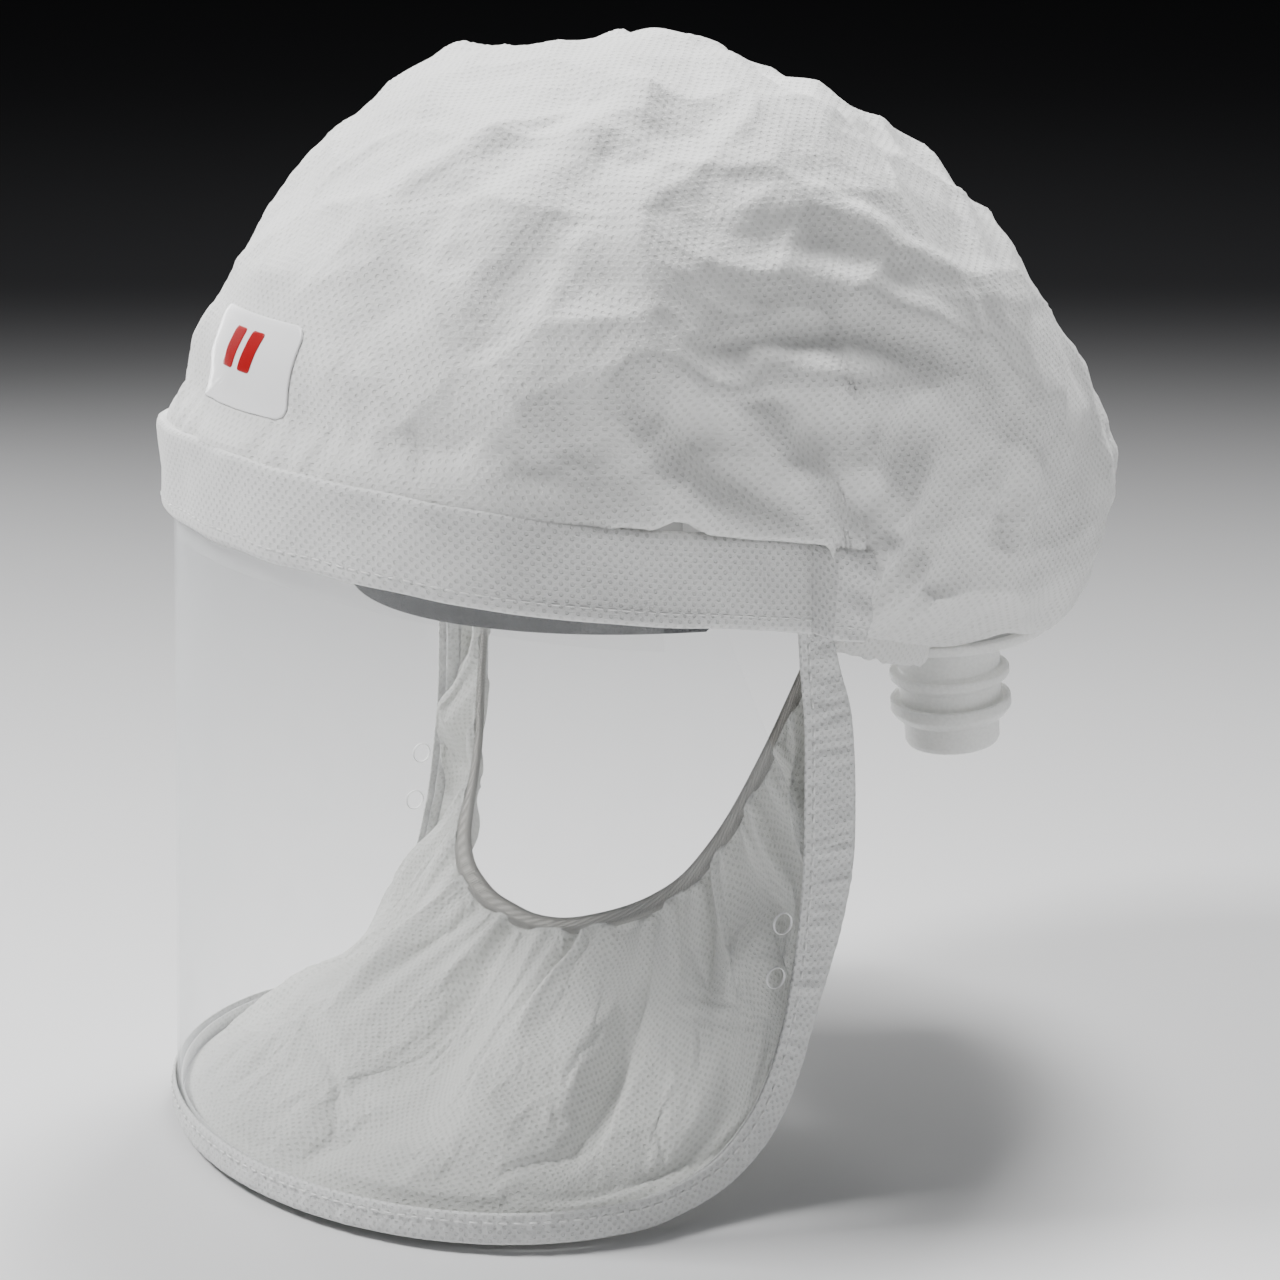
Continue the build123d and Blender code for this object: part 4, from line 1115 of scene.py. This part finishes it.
def make_pad(name, node, offset, start_y, front, low, high, thick, slot_body):
    """Foam pad with a rounded section and rounded ends."""
    columns, rows = 240, 28
    line = ring_path(offset, start_y, front, columns)
    out = unit(np.column_stack([line[:, 0], line[:, 1] - (0 if front else 40), 0 * line[:, 0]]))
    ends = np.linspace(0, 1, columns)
    taper = np.minimum(1, np.minimum(ends, 1 - ends) * columns / 7) ** 0.5
    taper = np.maximum(taper, 0.15)
    middle, half = (low + high) / 2, (high - low) / 2
    ring = []
    for k in range(rows):
        a = 2 * math.pi * k / rows
        c = math.copysign(abs(math.cos(a)) ** 0.55, math.cos(a))
        s = math.copysign(abs(math.sin(a)) ** 0.35, math.sin(a))
        soft = np.array([noise.noise(Vector((e * 9, c, s + 2))) for e in ends]) * 0.25
        spot = line + out * ((thick / 2) * c * taper + soft)[:, None]
        spot[:, 2] = middle + half * s * (0.35 + 0.65 * taper)
        ring.append(spot)
    pad = tube(name, ring)
    place(pad, FOAM, slot_body, replaces=(node,))


def soft_copy(name, node, material, body):
    """A CAD block with its edges rounded off the way soft stuff rounds."""
    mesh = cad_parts[node].data.copy()
    mesh.name = name
    obj = new_object(name, mesh)
    apply_modifier(obj, "REMESH", mode="VOXEL", voxel_size=0.7 * MM)
    apply_modifier(obj, "SMOOTH", factor=0.6, iterations=6)
    shade_smooth(obj.data)
    return place(obj, material, body, replaces=(node,))


# Build everything

make_hood()
band_rows = make_band()
band_stitches(band_rows)
make_skirt()
make_elastic()
make_tape()
make_casing()
make_connector()
make_hole_glint_rings()
make_pad("brow_pad", "comfort_pad", -1.0, -36.0, True, -21.4, 17.8, 4.8, "hood")
make_pad("nape_pad_foam", "nape_pad", 0.8, 80.0, False, -3.8, 13.8, 4.8, "rear_cradle")
soft_copy("crown_cushion", "crown_pad", FOAM, "crown_straps")
soft_copy("duct_boot_rubber", "duct_boot", BOOT_RUBBER, "hood")
make_label()

# CAD nodes that are shown as they are
WHITE_NODES = ("headband_front", "headband_rear", "adjuster_pegs", "strap_studs", "crown_button",
               "temple_spacer_left", "temple_spacer_right", "temple_rivets", "duct_bracket")
CAD_MATERIALS = [
    (CLEAR_WITH_PAINTED_GLINT, ("visor",)),
    (FILM, ("visor_seal_strip",)),
    (MILKY, ("connector_gasket",)),
    (SCREW_METAL, ("clamp_screws",)),
    (STRAP_PLASTIC, ("crown_strap_side", "crown_strap_front")),
    (DUCT_PLASTIC, ("clamp_ring", "boot_clip", "duct_channel", "duct_cover", "air_lip")),
    (WHITE_PLASTIC, WHITE_NODES),
]
for material, nodes in CAD_MATERIALS:
    for node in nodes:
        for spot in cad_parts[node].material_slots:
            spot.material = material


# Stage, lights and camera

def make_stage():
    """Pale floor that sweeps up into a dark backdrop; the darkening away from the object is painted shade.
    """
    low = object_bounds()[0][2] - 0.0008
    away = np.array([-0.823, 0.568, 0])
    side = np.array([0.568, 0.823, 0])
    path = smooth_path([(-3.0, 0, 0), (1.4, 0, 0), (2.6, 0, 0.02), (3.2, 0, 0.2), (3.5, 0, 0.7),
                        (3.6, 0, 2.0), (3.6, 0, 3.6)], 60)
    rows = [[away * a * 1000 + side * s * 1000 + np.array([0, 0, (low + b) * 1000])
             for s in np.linspace(-5, 5, 9)] for a, _, b in path]
    stage = grid_object("studio_sweep", np.array(rows))
    n = Nodes("studio_paper_painted_shade")
    split = n.add("ShaderNodeSeparateXYZ")
    n.link(n.coords(), split.inputs[0])
    along_x = n.math("MULTIPLY", split.outputs[0], float(away[0]))
    along_y = n.math("MULTIPLY", split.outputs[1], float(away[1]))
    behind = n.math("ADD", along_x, along_y)
    # far is painted shade: the colour darkens with distance behind the object, standing in for light falling
    # off
    far = n.math("POWER", n.ramp(behind, -0.25, 1.35), 0.6)
    grain = n.math("MULTIPLY", n.noise(30.0, 2.0, 0.5), 0.02)
    tint = n.mix(far, (0.86, 0.86, 0.865), (0.012, 0.012, 0.013))
    n.set(color=tint, rough=n.math("ADD", 0.8, grain), spec=0.1)
    dress(stage, n.mat)


def area_light(name, spot, aim, size, power, tint=(1, 1, 1)):
    data = bpy.data.lights.new(name, "AREA")
    data.shape = "RECTANGLE"
    data.size, data.size_y = size
    data.energy = power
    data.color = tint
    obj = new_object(name, data)
    obj.location = spot
    obj.rotation_euler = (Vector(aim) - Vector(spot)).to_track_quat("-Z", "Y").to_euler()
    return obj


def make_lights():
    area_light("key", (-0.55, -1.0, 1.25), (0, 0, -0.02), (0.38, 0.38), 40)
    area_light("top", (-0.35, 0.45, 1.25), (0, 0, 0), (0.4, 0.6), 30)
    area_light("fill", (1.5, 0.1, 0.2), (0, 0, -0.03), (0.9, 1.2), 4.0)
    area_light("floor_wash", (-1.1, 0.9, 1.3), (-0.25, 0.2, -0.18), (1.6, 1.0), 10)
    area_light("visor_strip", (-1.05, -0.05, 0.0), (0, -0.06, -0.09), (0.12, 0.9), 5.0)
    world = bpy.data.worlds.new("studio")
    world.use_nodes = True
    world.node_tree.nodes["Background"].inputs[0].default_value = (0.85, 0.88, 0.92, 1)
    world.node_tree.nodes["Background"].inputs[1].default_value = 0.12
    bpy.context.scene.world = world


def make_camera():
    azimuth, elevation, distance = math.radians(55.374), math.radians(15.674), 1.06398
    aim = Vector((0, -0.014648, -0.044714))
    way = Vector((math.sin(azimuth) * math.cos(elevation), -math.cos(azimuth) * math.cos(elevation),
                  math.sin(elevation)))
    data = bpy.data.cameras.new("camera")
    data.sensor_width = 36.0
    data.lens = 103.24
    data.clip_start = 0.05
    obj = new_object("camera", data)
    obj.location = aim + way * distance
    obj.rotation_euler = (-way).to_track_quat("-Z", "Y").to_euler()
    bpy.context.scene.camera = obj


make_stage()
make_lights()
make_camera()
